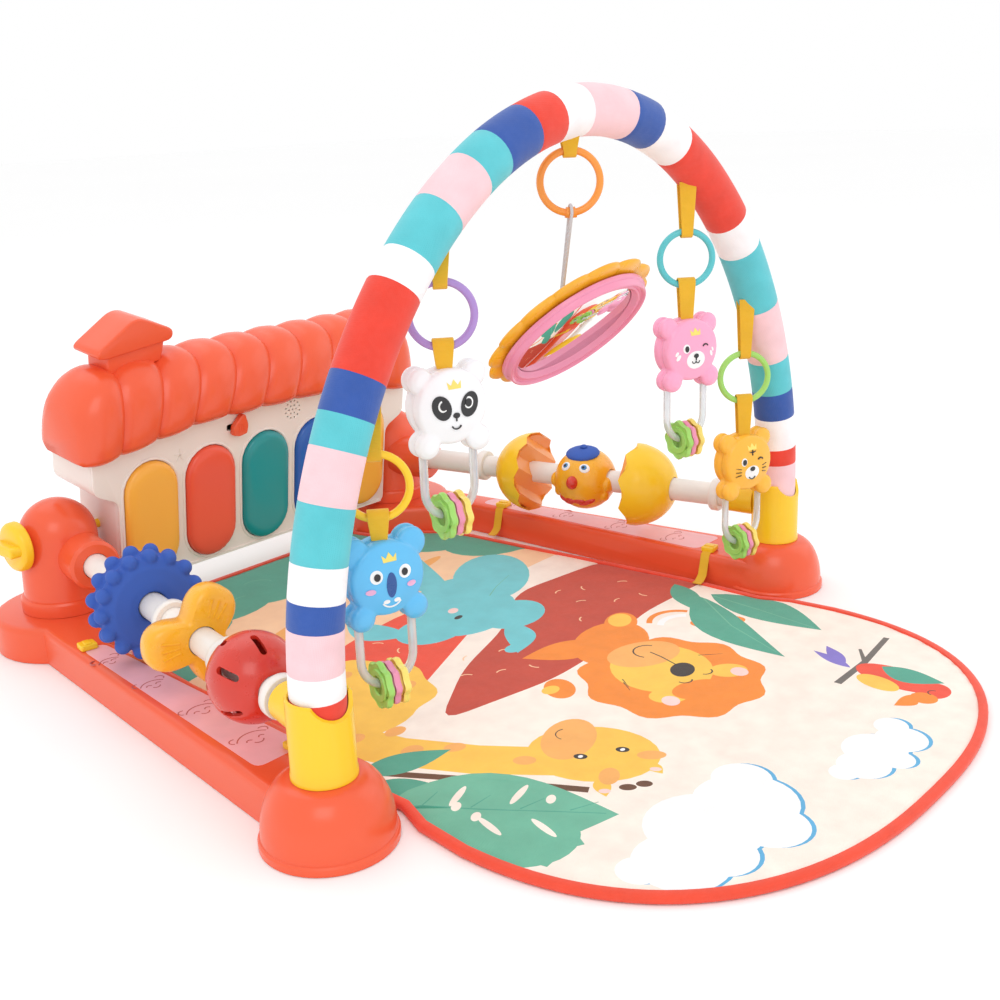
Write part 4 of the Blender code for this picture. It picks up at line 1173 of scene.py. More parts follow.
# ---- hanging mirror -----------------------------------------------------------------
@dataclass
class HangingMirror:
    """A flower-framed mirror on a doubled cord, hung from an orange ring."""

    x: float = MIRROR_RING[0]
    ring_z: float = MIRROR_RING[1]
    ring_r: float = 0.0205
    wire: float = 0.0025
    ring_yaw: float = -42.0
    mirror_z: float = 0.280
    yaw: float = -1.0
    tilt: float = 47.0
    petals: int = 14
    cord_r: float = 0.0011

    @property
    def face(self) -> Matrix:
        """The glass's frame: Z points out of the glass."""
        return shift(self.x, 0, self.mirror_z) @ turn(self.yaw, "Z") @ turn(90.0 + self.tilt, "X")

    def build(self) -> None:
        """Make the ring, the frame, the glass and the cord."""
        self.ring()
        self.flower()
        self.bezel()
        self.cord()

    def ring(self) -> None:
        """The orange ring with a small boss where the cord hangs."""
        path = [Vector((self.ring_r * math.cos(TAU * i / 56), 0, self.ring_r * math.sin(TAU * i / 56)))
                for i in range(56)]
        boss = [Vector((self.ring_r * math.sin(a), 0, -self.ring_r * math.cos(a)))
                for a in (-0.17, -0.16, 0.0, 0.16, 0.17)]
        Piece("mirror_link", "mirror_ring", "orange_plastic", ("mirror_ring",), 60.0).make(
            gather([bar(path, self.wire, 16, True), bar(boss, 0.0037, 16)]), Colour.ORANGE,
            place=shift(self.x, 0, self.ring_z) @ turn(self.ring_yaw, "Z"))

    def flower(self) -> None:
        """Puffy petals round the back of the frame, and its domed back with a cord boss."""
        line = [(0.0472, -0.0006), (0.0557, -0.0008), (0.0610, -0.0020), (0.0651, -0.0026), (0.0667, -0.0036),
                (0.0672, -0.0047), (0.0665, -0.0057), (0.0623, -0.0065), (0.0541, -0.0079), (0.0410, -0.0097),
                (0.0246, -0.0117), (0.0135, -0.0132), (0.0115, -0.0150), (0.0060, -0.0152)]
        loops = []
        for radius, z in line:
            share = max(0.0, (radius - 0.0510) / 0.0162)
            loop = []
            for i in range(self.petals * 8):
                a = TAU * i / (self.petals * 8)
                lobe = abs(math.cos(self.petals * a / 2.0)) ** 0.7
                r = radius * (1.0 - 0.075 * share * (1.0 - lobe))
                loop.append(Vector((r * math.cos(a), r * math.sin(a), z - 0.0012 * share * (1.0 - lobe))))
            loops.append(loop)
        Piece("mirror_petals", "mirror", "yellow_plastic", ("mirror_flower",), 40.0).make(
            loft(loops), Colour.GOLD, place=self.face)

    def bezel(self) -> None:
        """The stepped pink rim and the glass inside it."""
        line = [(0.0470, 0.0003), (0.0583, 0.0003), (0.0583, 0.0026), (0.0575, 0.0035), (0.0569, 0.0037),
                (0.0566, 0.0055), (0.0558, 0.0076), (0.0547, 0.0080), (0.0537, 0.0073), (0.0531, 0.0058),
                (0.0518, 0.0056), (0.0510, 0.0063), (0.0497, 0.0063), (0.0488, 0.0053), (0.0479, 0.0036),
                (0.0470, 0.0027), (0.0470, 0.0003)]
        Piece("mirror_rim", "mirror", "pink_plastic", ("mirror_bezel",), 32.0).make(
            spun(line, 96), Colour.PINK, place=self.face)
        glass = spun([(0.0, 0.0004), (0.0465, 0.0004), (0.0465, 0.0021), (0.0456, 0.0025), (0.0, 0.0026)], 96)
        Piece("mirror_disc", "mirror", "mirror", ("mirror_glass",), 30.0).make(glass, Colour.MIRROR,
                place=self.face)

    def route(self) -> list[Vector]:
        """Up from the mirror's back, over the ring's lowest point and down again."""
        low = Vector((self.x, 0, self.ring_z - self.ring_r))
        across = turn(self.ring_yaw + 90.0, "Z") @ Vector((1, 0, 0))
        end = self.face @ Vector((0, 0, -0.0165))
        spread = 0.0052
        side = [(end.lerp(low, i / 12), spread * (0.45 + 0.55 * i / 12)) for i in range(13)]
        over = [low + across * spread * math.cos(math.pi * k / 10) + Vector((0, 0,
                spread * math.sin(math.pi * k / 10)))
                for k in range(1, 10)]
        return [p + across * s for p, s in side] + over + [p - across * s for p, s in reversed(side)]

    def cord(self) -> None:
        """The doubled cord; its length is that of its route."""
        route = self.route()
        curve = bpy.data.curves.new("mirror_string", "CURVE")
        curve.dimensions, curve.use_fill_caps = "3D", True
        curve.bevel_depth, curve.bevel_resolution = self.cord_r, 3
        spline = curve.splines.new("POLY")
        spline.points.add(len(route) - 1)
        for point, spot in zip(spline.points, route):
            point.co = (*spot, 1.0)
        curve.materials.append(Colour.CORD.value.material())
        obj = bpy.data.objects.new("mirror_string", curve)
        bpy.context.scene.collection.objects.link(obj)
        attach(obj, "mirror")
        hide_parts("mirror_cord")


# ---- piano --------------------------------------------------------------------------
@dataclass
class Piano:
    """The kick piano: a panel with five keys under a puffy roof, tilting between the posts."""

    post_y: float = 0.425
    pivot_z: float = 0.0925
    lean: float = 8.0
    face_y: float = -0.0350
    panel_t: float = 0.0030
    body_half: float = 0.1565
    shoulder_half: float = 0.180
    shoulder_low: float = 0.042
    low: float = -0.051
    top: float = 0.092
    back: float = 0.030
    pitch: float = 0.0625
    key_half: float = 0.0262
    key_height: float = 0.1060
    key_mid: float = 0.0080
    roof_half: float = 0.190
    ridge: float = 0.148
    lobes: int = 10

    @property
    def place(self) -> Matrix:
        """The piano's own frame, its origin on the pivot."""
        return shift(0, self.post_y, self.pivot_z) @ turn(self.lean, "X")

    def outline(self, inset: float = 0.0, top: float | None = None) -> list[Point2]:
        """The body from the front: narrow between the posts, with shoulders above them."""
        half, wide = self.body_half - inset, self.shoulder_half - inset
        right = [(half, self.low + inset), (half, 0.030 + inset), (wide, self.shoulder_low + inset),
                (wide, self.top if top is None else top)]
        return right + [(-x, z) for x, z in reversed(right)]

    def build(self) -> None:
        """Make every piece of the piano."""
        self.panel()
        self.trim()
        self.shell()
        for index, finish in enumerate((Colour.KEY_ORANGE, Colour.KEY_RED, Colour.KEY_TEAL, Colour.KEY_BLUE,
                Colour.KEY_ORANGE)):
            self.key(index, finish)
        self.slider()
        self.roof()
        self.chimney()

    def key_x(self, index: int) -> float:
        """Middle of a key."""
        return (index - 2) * self.pitch

    def panel(self) -> None:
        """The front panel with its key openings, switch slot and speaker holes."""
        body = plate(soften(self.outline(), 0.007), self.face_y, self.face_y + self.panel_t, "Y", 0.0009, 2)
        cuts = []
        low, high = self.face_y - 0.005, self.face_y + self.panel_t + 0.005
        for i in range(5):
            cuts.append(plate(stadium(self.key_half + 0.0006, self.key_height / 2 + 0.0006, self.key_x(i),
                self.key_mid),
                    low, high, "Y"))
        cuts.append(plate(soften([(-0.043, 0.070), (-0.019, 0.070), (-0.019, 0.076), (-0.043, 0.076)], 0.002),
                    low, high, "Y"))
        for ring, count in ((0.0, 1), (0.0042, 6), (0.0084, 12)):
            for k in range(count):
                a = TAU * (k + 0.5 * (ring > 0.005)) / count
                cuts.append(plate(oval(0.0335 + ring * math.cos(a), 0.0750 + ring * math.sin(a), 0.0010,
                        0.0010, 0, 8),
                        low, high, "Y"))
        Piece("piano_panel", "piano", "cream_plastic", ("front_panel",), 30.0).make(
            carve(body, gather(cuts)), Colour.CREAM, place=self.place)

    def trim(self) -> None:
        """A raised lip round each key, a small star and the lower ledge."""
        parts = []
        for i in range(5):
            loops = []
            for grow, y in ((0.0010, 0.0002), (0.0010, -0.0010), (0.0020, -0.0014), (0.0030, -0.0010),
                    (0.0034, 0.0002)):
                outline = stadium(self.key_half + grow, self.key_height / 2 + grow, self.key_x(i),
                    self.key_mid)
                loops.append([Vector((x, self.face_y + y, z)) for x, z in outline])
            parts.append(loft(loops, closed=True))
        for k in range(5):
            a = math.radians(90 + 72 * k)
            tip = (-0.094 + 0.0062 * math.cos(a), 0.0590 + 0.0062 * math.sin(a))
            parts.append(plate(stroke([(-0.094, 0.0590), tip], 0.0016, 0.3), self.face_y - 0.0006,
                    self.face_y + 0.0004, "Y"))
        ledge = soften([(-0.152, -0.0500), (0.152, -0.0500), (0.152, -0.0478), (-0.152, -0.0478)], 0.001)
        parts.append(plate(ledge, self.face_y - 0.0016, self.face_y + 0.0004, "Y"))
        Piece("piano_trim", "piano", "cream_plastic", sharp=30.0).make(
            gather(parts), Colour.CREAM, place=self.place, outward=False)

    def shell(self) -> None:
        """The rear shell with a parting line, ribs, a speaker grille and the battery door."""
        low = self.face_y + self.panel_t + 0.0003
        body = plate(soften(self.outline(), 0.007), low, self.back, "Y", 0.0045, 4)
        inside = plate(self.outline(0.0030, self.top - 0.003), low - 0.010, self.back - 0.003, "Y")
        body = carve(body, inside)
        cuts = [plate([(-0.0355, -0.0405), (0.0355, -0.0405), (0.0355, 0.0205), (-0.0355, 0.0205)],
                self.back - 0.0024, self.back + 0.005, "Y")]
        for side in (-1, 1):
            for k in range(5):
                slot = stadium(0.0012, 0.010, side * 0.105 + (k - 2) * 0.006, 0.004, 6)
                cuts.append(plate(slot, self.back - 0.010, self.back + 0.005, "Y"))
            for x, z in ((0.140, -0.038), (0.162, 0.078)):
                cuts.append(plate(oval(side * x, z, 0.0040, 0.0040, 0, 20), self.back - 0.0022,
                    self.back + 0.005, "Y"))
        Piece("piano_back", "piano", "cream_plastic", ("rear_shell",), 30.0).make(
            carve(body, gather(cuts)), Colour.CREAM, place=self.place)
        door = plate(soften([(-0.0345, -0.0395), (0.0345, -0.0395), (0.0345, 0.0195), (-0.0345, 0.0195)],
                0.003),
                self.back - 0.0022, self.back, "Y", 0.0005, 2)
        parts, slots = [door], [0]
        for k in range(4):
            rib = stadium(0.0009, 0.010, -0.0045 + 0.003 * k, 0.008, 5)
            parts.append(plate(rib, self.back - 0.001, self.back + 0.0006, "Y"))
            slots.append(0)
        for x in (-0.028, 0.028):
            screw = spun([(0, 0), (0.0026, 0), (0.0026, 0.0006), (0.0020, 0.0010), (0, 0.0010)], 20)
            bmesh.ops.transform(screw, matrix=shift(x, self.back - 0.0004, -0.033) @ turn(-90, "X"),
                    verts=screw.verts)
            parts.append(screw)
            slots.append(1)
        Piece("battery_lid", "piano", "cream_plastic", ("battery_door",), 30.0).make(
            gather(parts, slots), Colour.CREAM, Colour.STEEL, place=self.place, outward=False)

    def key(self, index: int, finish: Colour) -> None:
        """A tall puffy key with a rolled rim."""
        back = self.face_y + self.panel_t
        steps = ((0.0018, back + 0.0022), (0.0018, back + 0.0006), (0.0, back + 0.0006),
                (0.0, self.face_y - 0.0026),
                (-0.0008, self.face_y - 0.0040), (-0.0026, self.face_y - 0.0054),
                (-0.0052, self.face_y - 0.0062),
                (-0.0085, self.face_y - 0.0066), (-0.0140, self.face_y - 0.0069),
                (-0.0200, self.face_y - 0.0070))
        loops = []
        for grow, y in steps:
            outline = stadium(self.key_half + grow, self.key_height / 2 + grow, self.key_x(index),
                self.key_mid)
            loops.append([Vector((x, y, z)) for x, z in outline])
        slot = f"{('orange', 'red', 'teal', 'blue', 'orange')[index]}_key"
        Piece(f"piano_key_{index + 1}", f"key_{index + 1}", slot, (f"key_{index + 1}",), 40.0).make(
            loft(loops), finish, place=self.place)

    def slider(self) -> None:
        """The switch: a small red pointed tab on its stem."""
        tab = plate(soften([(-0.0400, 0.0665), (-0.0330, 0.0645), (-0.0245, 0.0660), (-0.0230, 0.0735),
                (-0.0260, 0.0840),
                (-0.0300, 0.0850), (-0.0395, 0.0745)], 0.0018), self.face_y - 0.0065, self.face_y - 0.0004,
                "Y",
                0.0012, 3)
        ribs = [plate(stroke([(x, 0.0685), (x, 0.0765)], 0.0010), self.face_y - 0.0069, self.face_y - 0.006,
                "Y", 0.0002, 1)
                for x in (-0.0335, -0.0310, -0.0285)]
        stem = plate([(-0.0340, 0.0712), (-0.0280, 0.0712), (-0.0280, 0.0748), (-0.0340, 0.0748)],
                self.face_y - 0.0010, self.face_y + 0.0050, "Y")
        Piece("mode_tab", "mode_slider", "red_plastic", ("mode_slider",), 30.0).make(
            gather([tab, stem, *ribs]), Colour.RED, place=self.place, outward=False)

    def roof(self) -> None:
        """Slanted puffy lobes over a rounded eave that hangs lower at both ends."""
        front, behind = -0.0500, 0.0400
        middle, half_depth = (front + behind) / 2, (behind - front) / 2
        low = self.top + 0.004
        rise = self.ridge - low
        loops = []
        count = self.lobes * 10
        for i in range(count + 1):
            u = i / count
            x = self.roof_half * (2 * u - 1)
            end = abs(2 * u - 1)
            lobe = abs(math.sin(math.pi * self.lobes * u)) ** 0.55
            close = math.sqrt(max(0.0, 1.0 - ((end - 0.84) / 0.16) ** 2)) if end > 0.84 else 1.0
            size = (0.885 + 0.115 * lobe) * (0.66 + 0.34 * close)
            tall = size * (1.0 - 0.26 * max(0.0, (end - 0.70) / 0.30) ** 2) * (0.66 + 0.34 * close)
            drop = 0.019 * max(0.0, (end - 0.30) / 0.70) ** 1.2
            loop = []
            for k in range(29):
                a = math.radians(-38 + 256 * k / 28)
                s = math.sin(a)
                y = middle - half_depth * size * math.copysign(abs(math.cos(a)) ** 0.85, math.cos(a))
                z = low + rise * (tall if s > 0 else size * 0.30) * s
                z -= drop * max(0.0, 1.0 - max(s, 0.0) / 0.75)
                slant = 0.020 * (1.0 - end ** 4) * (max(s, 0.0) - 0.35)
                loop.append(Vector((x + slant, y, z)))
            loops.append(loop)
        Piece("puffy_roof", "piano", "red_plastic", ("roof",), 55.0).make(loft(loops), Colour.RED,
                    place=self.place)

    def chimney(self) -> None:
        """A pointed chimney cap leaning over the roof's left end."""
        base = self.ridge + 0.0003
        cap = [(-0.1530, 0.1525), (-0.0880, 0.1600), (-0.0865, 0.1690), (-0.1180, 0.1828), (-0.1275, 0.1815),
               (-0.1615, 0.1590), (-0.1605, 0.1540)]
        stem = [(-0.150, base - 0.014), (-0.098, base - 0.006), (-0.094, 0.160), (-0.150, 0.158)]
        whole = carve(plate(soften(cap, 0.006), -0.0220, 0.0160, "Y", 0.0038, 4),
                plate(stem, -0.0185, 0.0125, "Y", 0.0020, 3), "UNION")
        Piece("chimney_cap", "piano", "red_plastic", ("chimney",), 32.0).make(whole, Colour.RED,
                place=self.place)


# ---- spinners -----------------------------------------------------------------------
@dataclass
class Spinners:
    """The toys that turn on the two slanted shafts."""

    left: SideBase
    right: SideBase
    bore: float = 0.0111

    def build(self) -> None:
        """Make every spinner."""
        self.knobbly_wheel()
        self.paddles()
        self.slotted_ball()
        self.eggshell("egg_rear", 0.240, 1)
        self.eggshell("egg_front", 0.136, -1)
        self.chick()

    def knobbly_wheel(self) -> None:
        """A blue wheel with two rows of soft knobs."""
        line = [(self.bore, -0.0150), (0.0190, -0.0165), (0.0300, -0.0150), (0.0368, -0.0100),
                (0.0378, -0.0040),
                (0.0368, 0.0), (0.0378, 0.0040), (0.0368, 0.0100), (0.0300, 0.0150), (0.0190, 0.0165),
                (self.bore, 0.0150), (self.bore, -0.0150)]
        parts = [spun(line, 56)]
        for row, z in enumerate((-0.0082, 0.0082)):
            for i in range(15):
                a = TAU * (i + 0.5 * row) / 15
                parts.append(ball((0.0375 * math.cos(a), 0.0375 * math.sin(a), z), (0.0062, 0.0062, 0.0068),
                        14))
        Piece("knobbly_wheel", "spiky_ring", "blue_plastic", ("spiky_ring",), 70.0).make(
            melt(parts, 0.0012, 2), Colour.BLUE, place=self.left.along(0.262))

    def paddles(self) -> None:
        """Three broad yellow paddles with ribs."""
        loops = []
        for radius, z in ((self.bore, -0.0112), (0.55, -0.0118), (0.85, -0.0108), (0.96, -0.0082),
                (1.0, -0.0045),
                (1.0, 0.0045), (0.96, 0.0082), (0.85, 0.0108), (0.55, 0.0118), (self.bore, 0.0112)):
            loop = []
            for i in range(96):
                a = TAU * i / 96
                wave = 0.040 * (1.0 - 0.52 * (0.5 - 0.5 * math.cos(3 * a)) ** 1.6)
                r = self.bore if radius == self.bore else max(wave * radius, self.bore + 0.003)
                loop.append(Vector((r * math.cos(a), r * math.sin(a), z)))
            loops.append(loop)
        parts = [loft(loops, closed=True)]
        for blade in range(3):
            for k in (-1, 0, 1):
                a = TAU * blade / 3 + 0.20 * k
                for z in (-0.0112, 0.0112):
                    ends = [Vector((r * math.cos(a), r * math.sin(a), z)) for r in (0.018, 0.024, 0.031)]
                    parts.append(bar(ends, 0.0011, 8))
        Piece("paddle_wheel", "propeller", "yellow_plastic", ("propeller",), 40.0).make(
            gather(parts), Colour.GOLD, place=self.left.along(0.172), outward=False)

    def slotted_ball(self) -> None:
        """A hollow red ball with two rows of slots and a loose steel bead inside."""
        radius, wall = 0.0310, 0.0026
        outer = [(radius * math.cos(math.radians(d)), radius * math.sin(math.radians(d))) for d in range(-66,
                67, 6)]
        inner = [(r * (radius - wall) / radius, z * (radius - wall) / radius) for r, z in outer]
        cap = outer[-1][1]
        line = [(self.bore, -cap), *outer, (self.bore, cap), (self.bore, cap - wall), *reversed(inner),
                (self.bore, wall - cap), (self.bore, -cap)]
        cuts = []
        for row, z in enumerate((-0.0125, 0.0125)):
            for i in range(6):
                slot = plate(stadium(0.0024, 0.0084, 0.0, 0.0, 8), -0.040, -0.018, "Y")
                lean = turn(math.degrees(TAU * (i + 0.5 * row) / 6), "Z") @ shift(0, 0, z)
                move(slot, lean)
                cuts.append(slot)
        Piece("rattle_ball", "slotted_ball", "red_plastic", ("slotted_ball",), 32.0).make(
            carve(spun(line, 64), gather(cuts)), Colour.DEEP_RED, place=self.left.along(0.086))
        Piece("rattle_bead", "steel_ball", "steel", ("steel_ball",), 60.0).make(
            ball((0, -0.0196, 0), (0.0068, 0.0068, 0.0068), 28), Colour.STEEL, place=self.left.along(0.086))

    def eggshell(self, name: str, y: float, way: int) -> None:
        """Half an eggshell with a broken rim, orange inside."""
        radius, wall, length, teeth = 0.0395, 0.0025, 0.0420, 9
        outer, inner = [], []
        for i in range(13):
            a = math.radians(17.0 + 73.0 * i / 12)
            outer.append((radius * math.sin(a), length * math.cos(a)))
            b = math.radians(24.0 + 66.0 * i / 12)
            inner.append(((radius - wall) * math.sin(b), (length - wall) * math.cos(b)))
        crown = outer[0][1]
        line = [(self.bore, crown, 0.0), *[(r, z, 0.0) for r, z in outer[:-1]], (*outer[-1], 1.0),
                (*inner[-1], 1.0),
                *[(r, z, 0.0) for r, z in reversed(inner[:-1])], (0.0150, inner[0][1], 0.0),
                (0.0150, crown - 0.014, 0.0),
                (self.bore, crown - 0.014, 0.0)]
        loops = []
        steps = teeth * 8
        for r, z, tooth in line:
            loop = []
            for i in range(steps):
                a = TAU * i / steps
                saw = abs(2.0 * ((i / 8.0) % 1.0) - 1.0)
                loop.append(Vector((r * math.cos(a), r * math.sin(a), way * (z + tooth * 0.0065 * saw))))
            loops.append(loop)
        slots = [0] * 13 + [1] * (len(line) - 13)
        Piece(f"{name}_half", name, "yellow_plastic", (name,), 40.0).make(
            loft(loops, closed=True, slots=slots), Colour.YELLOW, Colour.ORANGE, place=self.right.along(y))

    def chick(self) -> None:
        """A round chick with wings, cap, eyes, beak and feet, facing the mat."""
        place = self.right.along(0.187)
        profile = [(self.bore, -0.0275)]
        profile += [(0.0300 * math.cos(math.radians(d)),
                0.0300 * math.sin(math.radians(d))) for d in range(-64, 65, 8)]
        profile += [(self.bore, 0.0275), (self.bore, -0.0275)]
        parts = [spun(profile, 48)]
        for side in (-1, 1):
            parts.append(ball((0.0060, -0.002, side * 0.0285), (0.0100, 0.0080, 0.0048), 18))
            parts.append(ball((0.0080, -0.012, side * 0.0245), (0.0070, 0.0065, 0.0045), 18))
        Piece("chick_ball", "chick", "yellow_plastic", ("chick",), 70.0).make(
            melt(parts, 0.0011, 2), Colour.GOLD, place=place)
        marks: list[tuple[int, bmesh.types.BMesh]] = []

        def spot(up: float, across: float, reach: float = 0.0300) -> Vector:
            """A point on the ball, from angles above and beside its front."""
            a, b = math.radians(up), math.radians(across)
            return Vector((math.cos(a) * math.cos(b), math.sin(a), math.cos(a) * math.sin(b))) * reach

        def stick(slot: int, up: float, across: float, radii: tuple[float, float, float],
                    reach: float = 0.0296) -> None:
            """A small dome set on the ball at that point, radii given along, up and across."""
            at = spot(up, across, reach)
            dome = ball((0, 0, 0), radii, 16)
            face = at.normalized().to_track_quat("X", "Y").to_matrix().to_4x4()
            move(dome, Matrix.Translation(at) @ face)
            marks.append((slot, dome))

        for side in (-1, 1):
            stick(0, 34, side * 24, (0.0016, 0.0052, 0.0046))
            stick(4, 35, side * 23, (0.0026, 0.0034, 0.0030))
            stick(1, 35, side * 22, (0.0034, 0.0018, 0.0018))
            for toe in (-1, 0, 1):
                stick(2, -34 - 5 * (toe == 0), side * 22 + toe * 12, (0.0030, 0.0062, 0.0030), 0.0290)
        stick(2, 6, 0, (0.0075, 0.0058, 0.0066), 0.0290)
        stick(3, 78, 0, (0.0050, 0.0170, 0.0150), 0.0270)
        stick(3, 84, 0, (0.0022, 0.0036, 0.0036), 0.0325)
        Piece("chick_marks", "chick", "red_plastic").make(
            gather([m for _, m in marks], [s for s, _ in marks]), Colour.WHITE, Colour.BLACK, Colour.DEEP_RED,
            Colour.BLUE, Colour.SKY, place=place, outward=False)


# ---- mat ----------------------------------------------------------------------------
@dataclass
class PlayMat:
    """The thin padded mat with its printed jungle and a red bound edge."""

    thick: float = 0.006
    front: float = 0.275
    half: float = 0.237
    pad_x: float = 0.197
    pad_y: float = 0.423
    pad_r: float = 0.064
    grid: float = 0.011

    def outline(self, inset: float = 0.0) -> list[Point2]:
        """The mat's edge, from the front middle round the right side."""
        points = []
        for i in range(31):
            a = math.radians(-90.0 + 3.0 * i)
            points.append((self.half * abs(math.cos(a)) ** 0.8,
                    -0.080 - (self.front - 0.080) * abs(math.sin(a)) ** 0.87))
        points += [(0.2325, -0.040), (0.2225, -0.015), (0.2220, 0.060), (0.1960, 0.330)]
        points += arc(self.pad_x, self.pad_y, self.pad_r, 249.0, 180.0, 10)
        edge = points + [(-x, y) for x, y in reversed(points[1:])]
        if not inset:
            return edge
        out = []
        for i, spot in enumerate(edge):
            along = (Vector(edge[(i + 1) % len(edge)]) - Vector(edge[i - 1])).normalized()
            out.append((spot[0] - along.y * inset, spot[1] + along.x * inset))
        return out

    def art(self) -> list[tuple[Colour, list[Point2]]]:
        """The print, from the ground up: each shape covers the ones before it."""
        shapes: list[tuple[Colour, list[Point2]]] = []

        def add(finish: Colour, *outlines: list[Point2]) -> None:
            """Print outlines in one colour."""
            shapes.extend((finish, outline) for outline in outlines)

        self.ground(add)
        self.elephant(add)
        self.lion(add)
        self.giraffe(add)
        self.plants(add)
        self.sky(add)
        return shapes

    def ground(self, add: Callable[..., None]) -> None:
        """Hills, bushes and their marks."""
        add(Colour.MAT_PEACH, soften([(-0.30, 0.06), (-0.20, 0.10), (-0.02, 0.16), (0.12, 0.20), (0.26, 0.20),
                (0.30, 0.46),
                (-0.30, 0.46)], 0.08))
        add(Colour.MAT_TAN, oval(-0.12, 0.245, 0.060, 0.012, 28), oval(0.10, 0.285, 0.030, 0.006, 10))
        add(Colour.MAT_BUSH, *[oval(x, y, 0.062, 0.048) for x, y in
                ((-0.20, 0.300), (-0.150, 0.350), (-0.085, 0.372), (-0.02, 0.372), (0.05, 0.398),
                (0.115, 0.392), (0.180, 0.338), (0.205, 0.285), (-0.10, 0.42), (0.0, 0.43), (0.10, 0.43))])
        add(Colour.MAT_RED, soften([(-0.26, 0.035), (-0.165, 0.065), (0.0, 0.135), (0.06, 0.160),
                (0.02, 0.215),
                (-0.07, 0.205), (-0.16, 0.175), (-0.27, 0.150)], 0.03))
        add(Colour.MAT_DARK_RED, soften([(-0.125, 0.045), (-0.02, 0.024), (0.06, 0.028), (0.125, 0.045),
                (0.24, 0.045),
                (0.24, 0.150), (0.10, 0.165), (0.03, 0.120), (-0.05, 0.092)], 0.025))
        add(Colour.MAT_GOLD, scallop(-0.130, 0.128, 0.062, 7, 0.10))
        add(Colour.MAT_TAN, oval(-0.098, 0.108, 0.010, 0.007), oval(-0.115, 0.160, 0.008, 0.006),
            oval(-0.150, 0.105, 0.009, 0.006))
        add(Colour.MAT_PEACH, *[stroke(arc(x, y, 0.0075, a, a + 75, 5), 0.0012) for x, y, a in
                ((-0.060, 0.078, 10), (-0.030, 0.100, 80), (-0.035, 0.060, 40), (-0.005, 0.052, 150),
                (-0.005, 0.085, 30), (0.090, 0.075, 90), (0.115, 0.100, 20), (0.140, 0.075, 60),
                (0.150, 0.120, 110), (0.175, 0.100, 10), (0.170, 0.070, 140), (0.125, 0.130, 60),
                (-0.075, 0.130, 30), (-0.050, 0.155, 100), (-0.020, 0.140, 60), (-0.060, 0.180, 0))])
        add(Colour.MAT_LEAF, *[stroke(arc(x, y, r, a, a + 110, 9), 0.0011, 0.5) for x, y, r, a in
                ((-0.16, 0.345, 0.016, 20), (-0.10, 0.375, 0.018, 40), (-0.03, 0.372, 0.016, 10),
                (-0.06, 0.352, 0.012, 60), (0.04, 0.405, 0.016, 30), (0.17, 0.330, 0.015, 40))])

    def elephant(self, add: Callable[..., None]) -> None:
        """A sleeping elephant, its ear towards the rear right."""
        add(Colour.MAT_TEAL, oval(0.040, 0.172, 0.056, 0.042, 18), oval(0.118, 0.212, 0.060, 0.036, 38),
            oval(0.070, 0.205, 0.045, 0.036), oval(0.060, 0.135, 0.034, 0.026, 10),
                oval(-0.008, 0.168, 0.034, 0.026),
            leaf((0.055, 0.205), (0.118, 0.312), 0.036, 0.012),
                leaf((0.045, 0.125), (0.000, 0.078), 0.026, 0.006),
            leaf((-0.030, 0.175), (-0.040, 0.240), 0.034, 0.008), oval(0.006, 0.086, 0.010, 0.007))
        add(Colour.MAT_PINK, oval(0.034, 0.182, 0.0062, 0.0044, 25))
        add(Colour.MAT_DARK, oval(0.026, 0.168, 0.0050, 0.0028, 10))
        add(Colour.MAT_LEAF, stroke([(0.080, 0.180), (0.100, 0.190), (0.130, 0.200)], 0.0009, 0.4))

    def lion(self, add: Callable[..., None]) -> None:
        """A lion on its back with a wavy mane."""
        add(Colour.MAT_ORANGE, scallop(0.040, -0.045, 0.074, 9, 0.10), oval(0.062, 0.030, 0.044, 0.030, 20),
            leaf((0.060, 0.040), (-0.006, 0.068), 0.034, 0.004), oval(-0.030, 0.010, 0.017, 0.012, 50),
            oval(0.100, 0.048, 0.022, 0.014, 30), stroke(arc(0.130, 0.008, 0.026, 130, 20, 10), 0.0050),
            oval(0.151, -0.016, 0.024, 0.012, -40))
        add(Colour.MAT_GOLD, oval(0.104, 0.052, 0.014, 0.010, 30), oval(-0.036, 0.014, 0.008, 0.006),
            oval(0.047, -0.030, 0.040, 0.044, -40), oval(0.074, -0.074, 0.015, 0.012, -40),
                oval(0.010, -0.062, 0.015, 0.012, -40))
        add(Colour.MAT_TAN, oval(0.060, -0.004, 0.032, 0.022, -20))
        add(Colour.MAT_WHITE, stroke(arc(0.128, 0.000, 0.022, 125, 35, 10), 0.0060))
        add(Colour.MAT_ORANGE, oval(0.034, -0.076, 0.024, 0.016, -30))
        add(Colour.MAT_PINK, oval(0.077, -0.082, 0.0068, 0.0080, -40),
                oval(0.004, -0.068, 0.0068, 0.0080, -40))
        add(Colour.MAT_DARK, oval(0.054, -0.045, 0.0130, 0.0095, 25),
            stroke([(0.058, -0.038), (0.064, -0.018), (0.066, -0.006)], 0.0012),
            stroke(arc(0.066, -0.004, 0.012, 200, 20, 10), 0.0013),
                stroke(arc(0.062, -0.060, 0.006, 200, 340, 6), 0.0012),
            stroke(arc(0.040, -0.056, 0.006, 170, 310, 6), 0.0012),
            *[stroke([(0.084 + 0.004 * k, -0.040 - 0.004 * k), (0.094 + 0.004 * k, -0.050 - 0.004 * k)],
                0.0009, 0.4) for k in (0, 1)],
            *[stroke([(0.008 + 0.004 * k, -0.022 + 0.004 * k), (0.000 + 0.004 * k, -0.034 + 0.004 * k)],
                0.0009, 0.4) for k in (0, 1)])

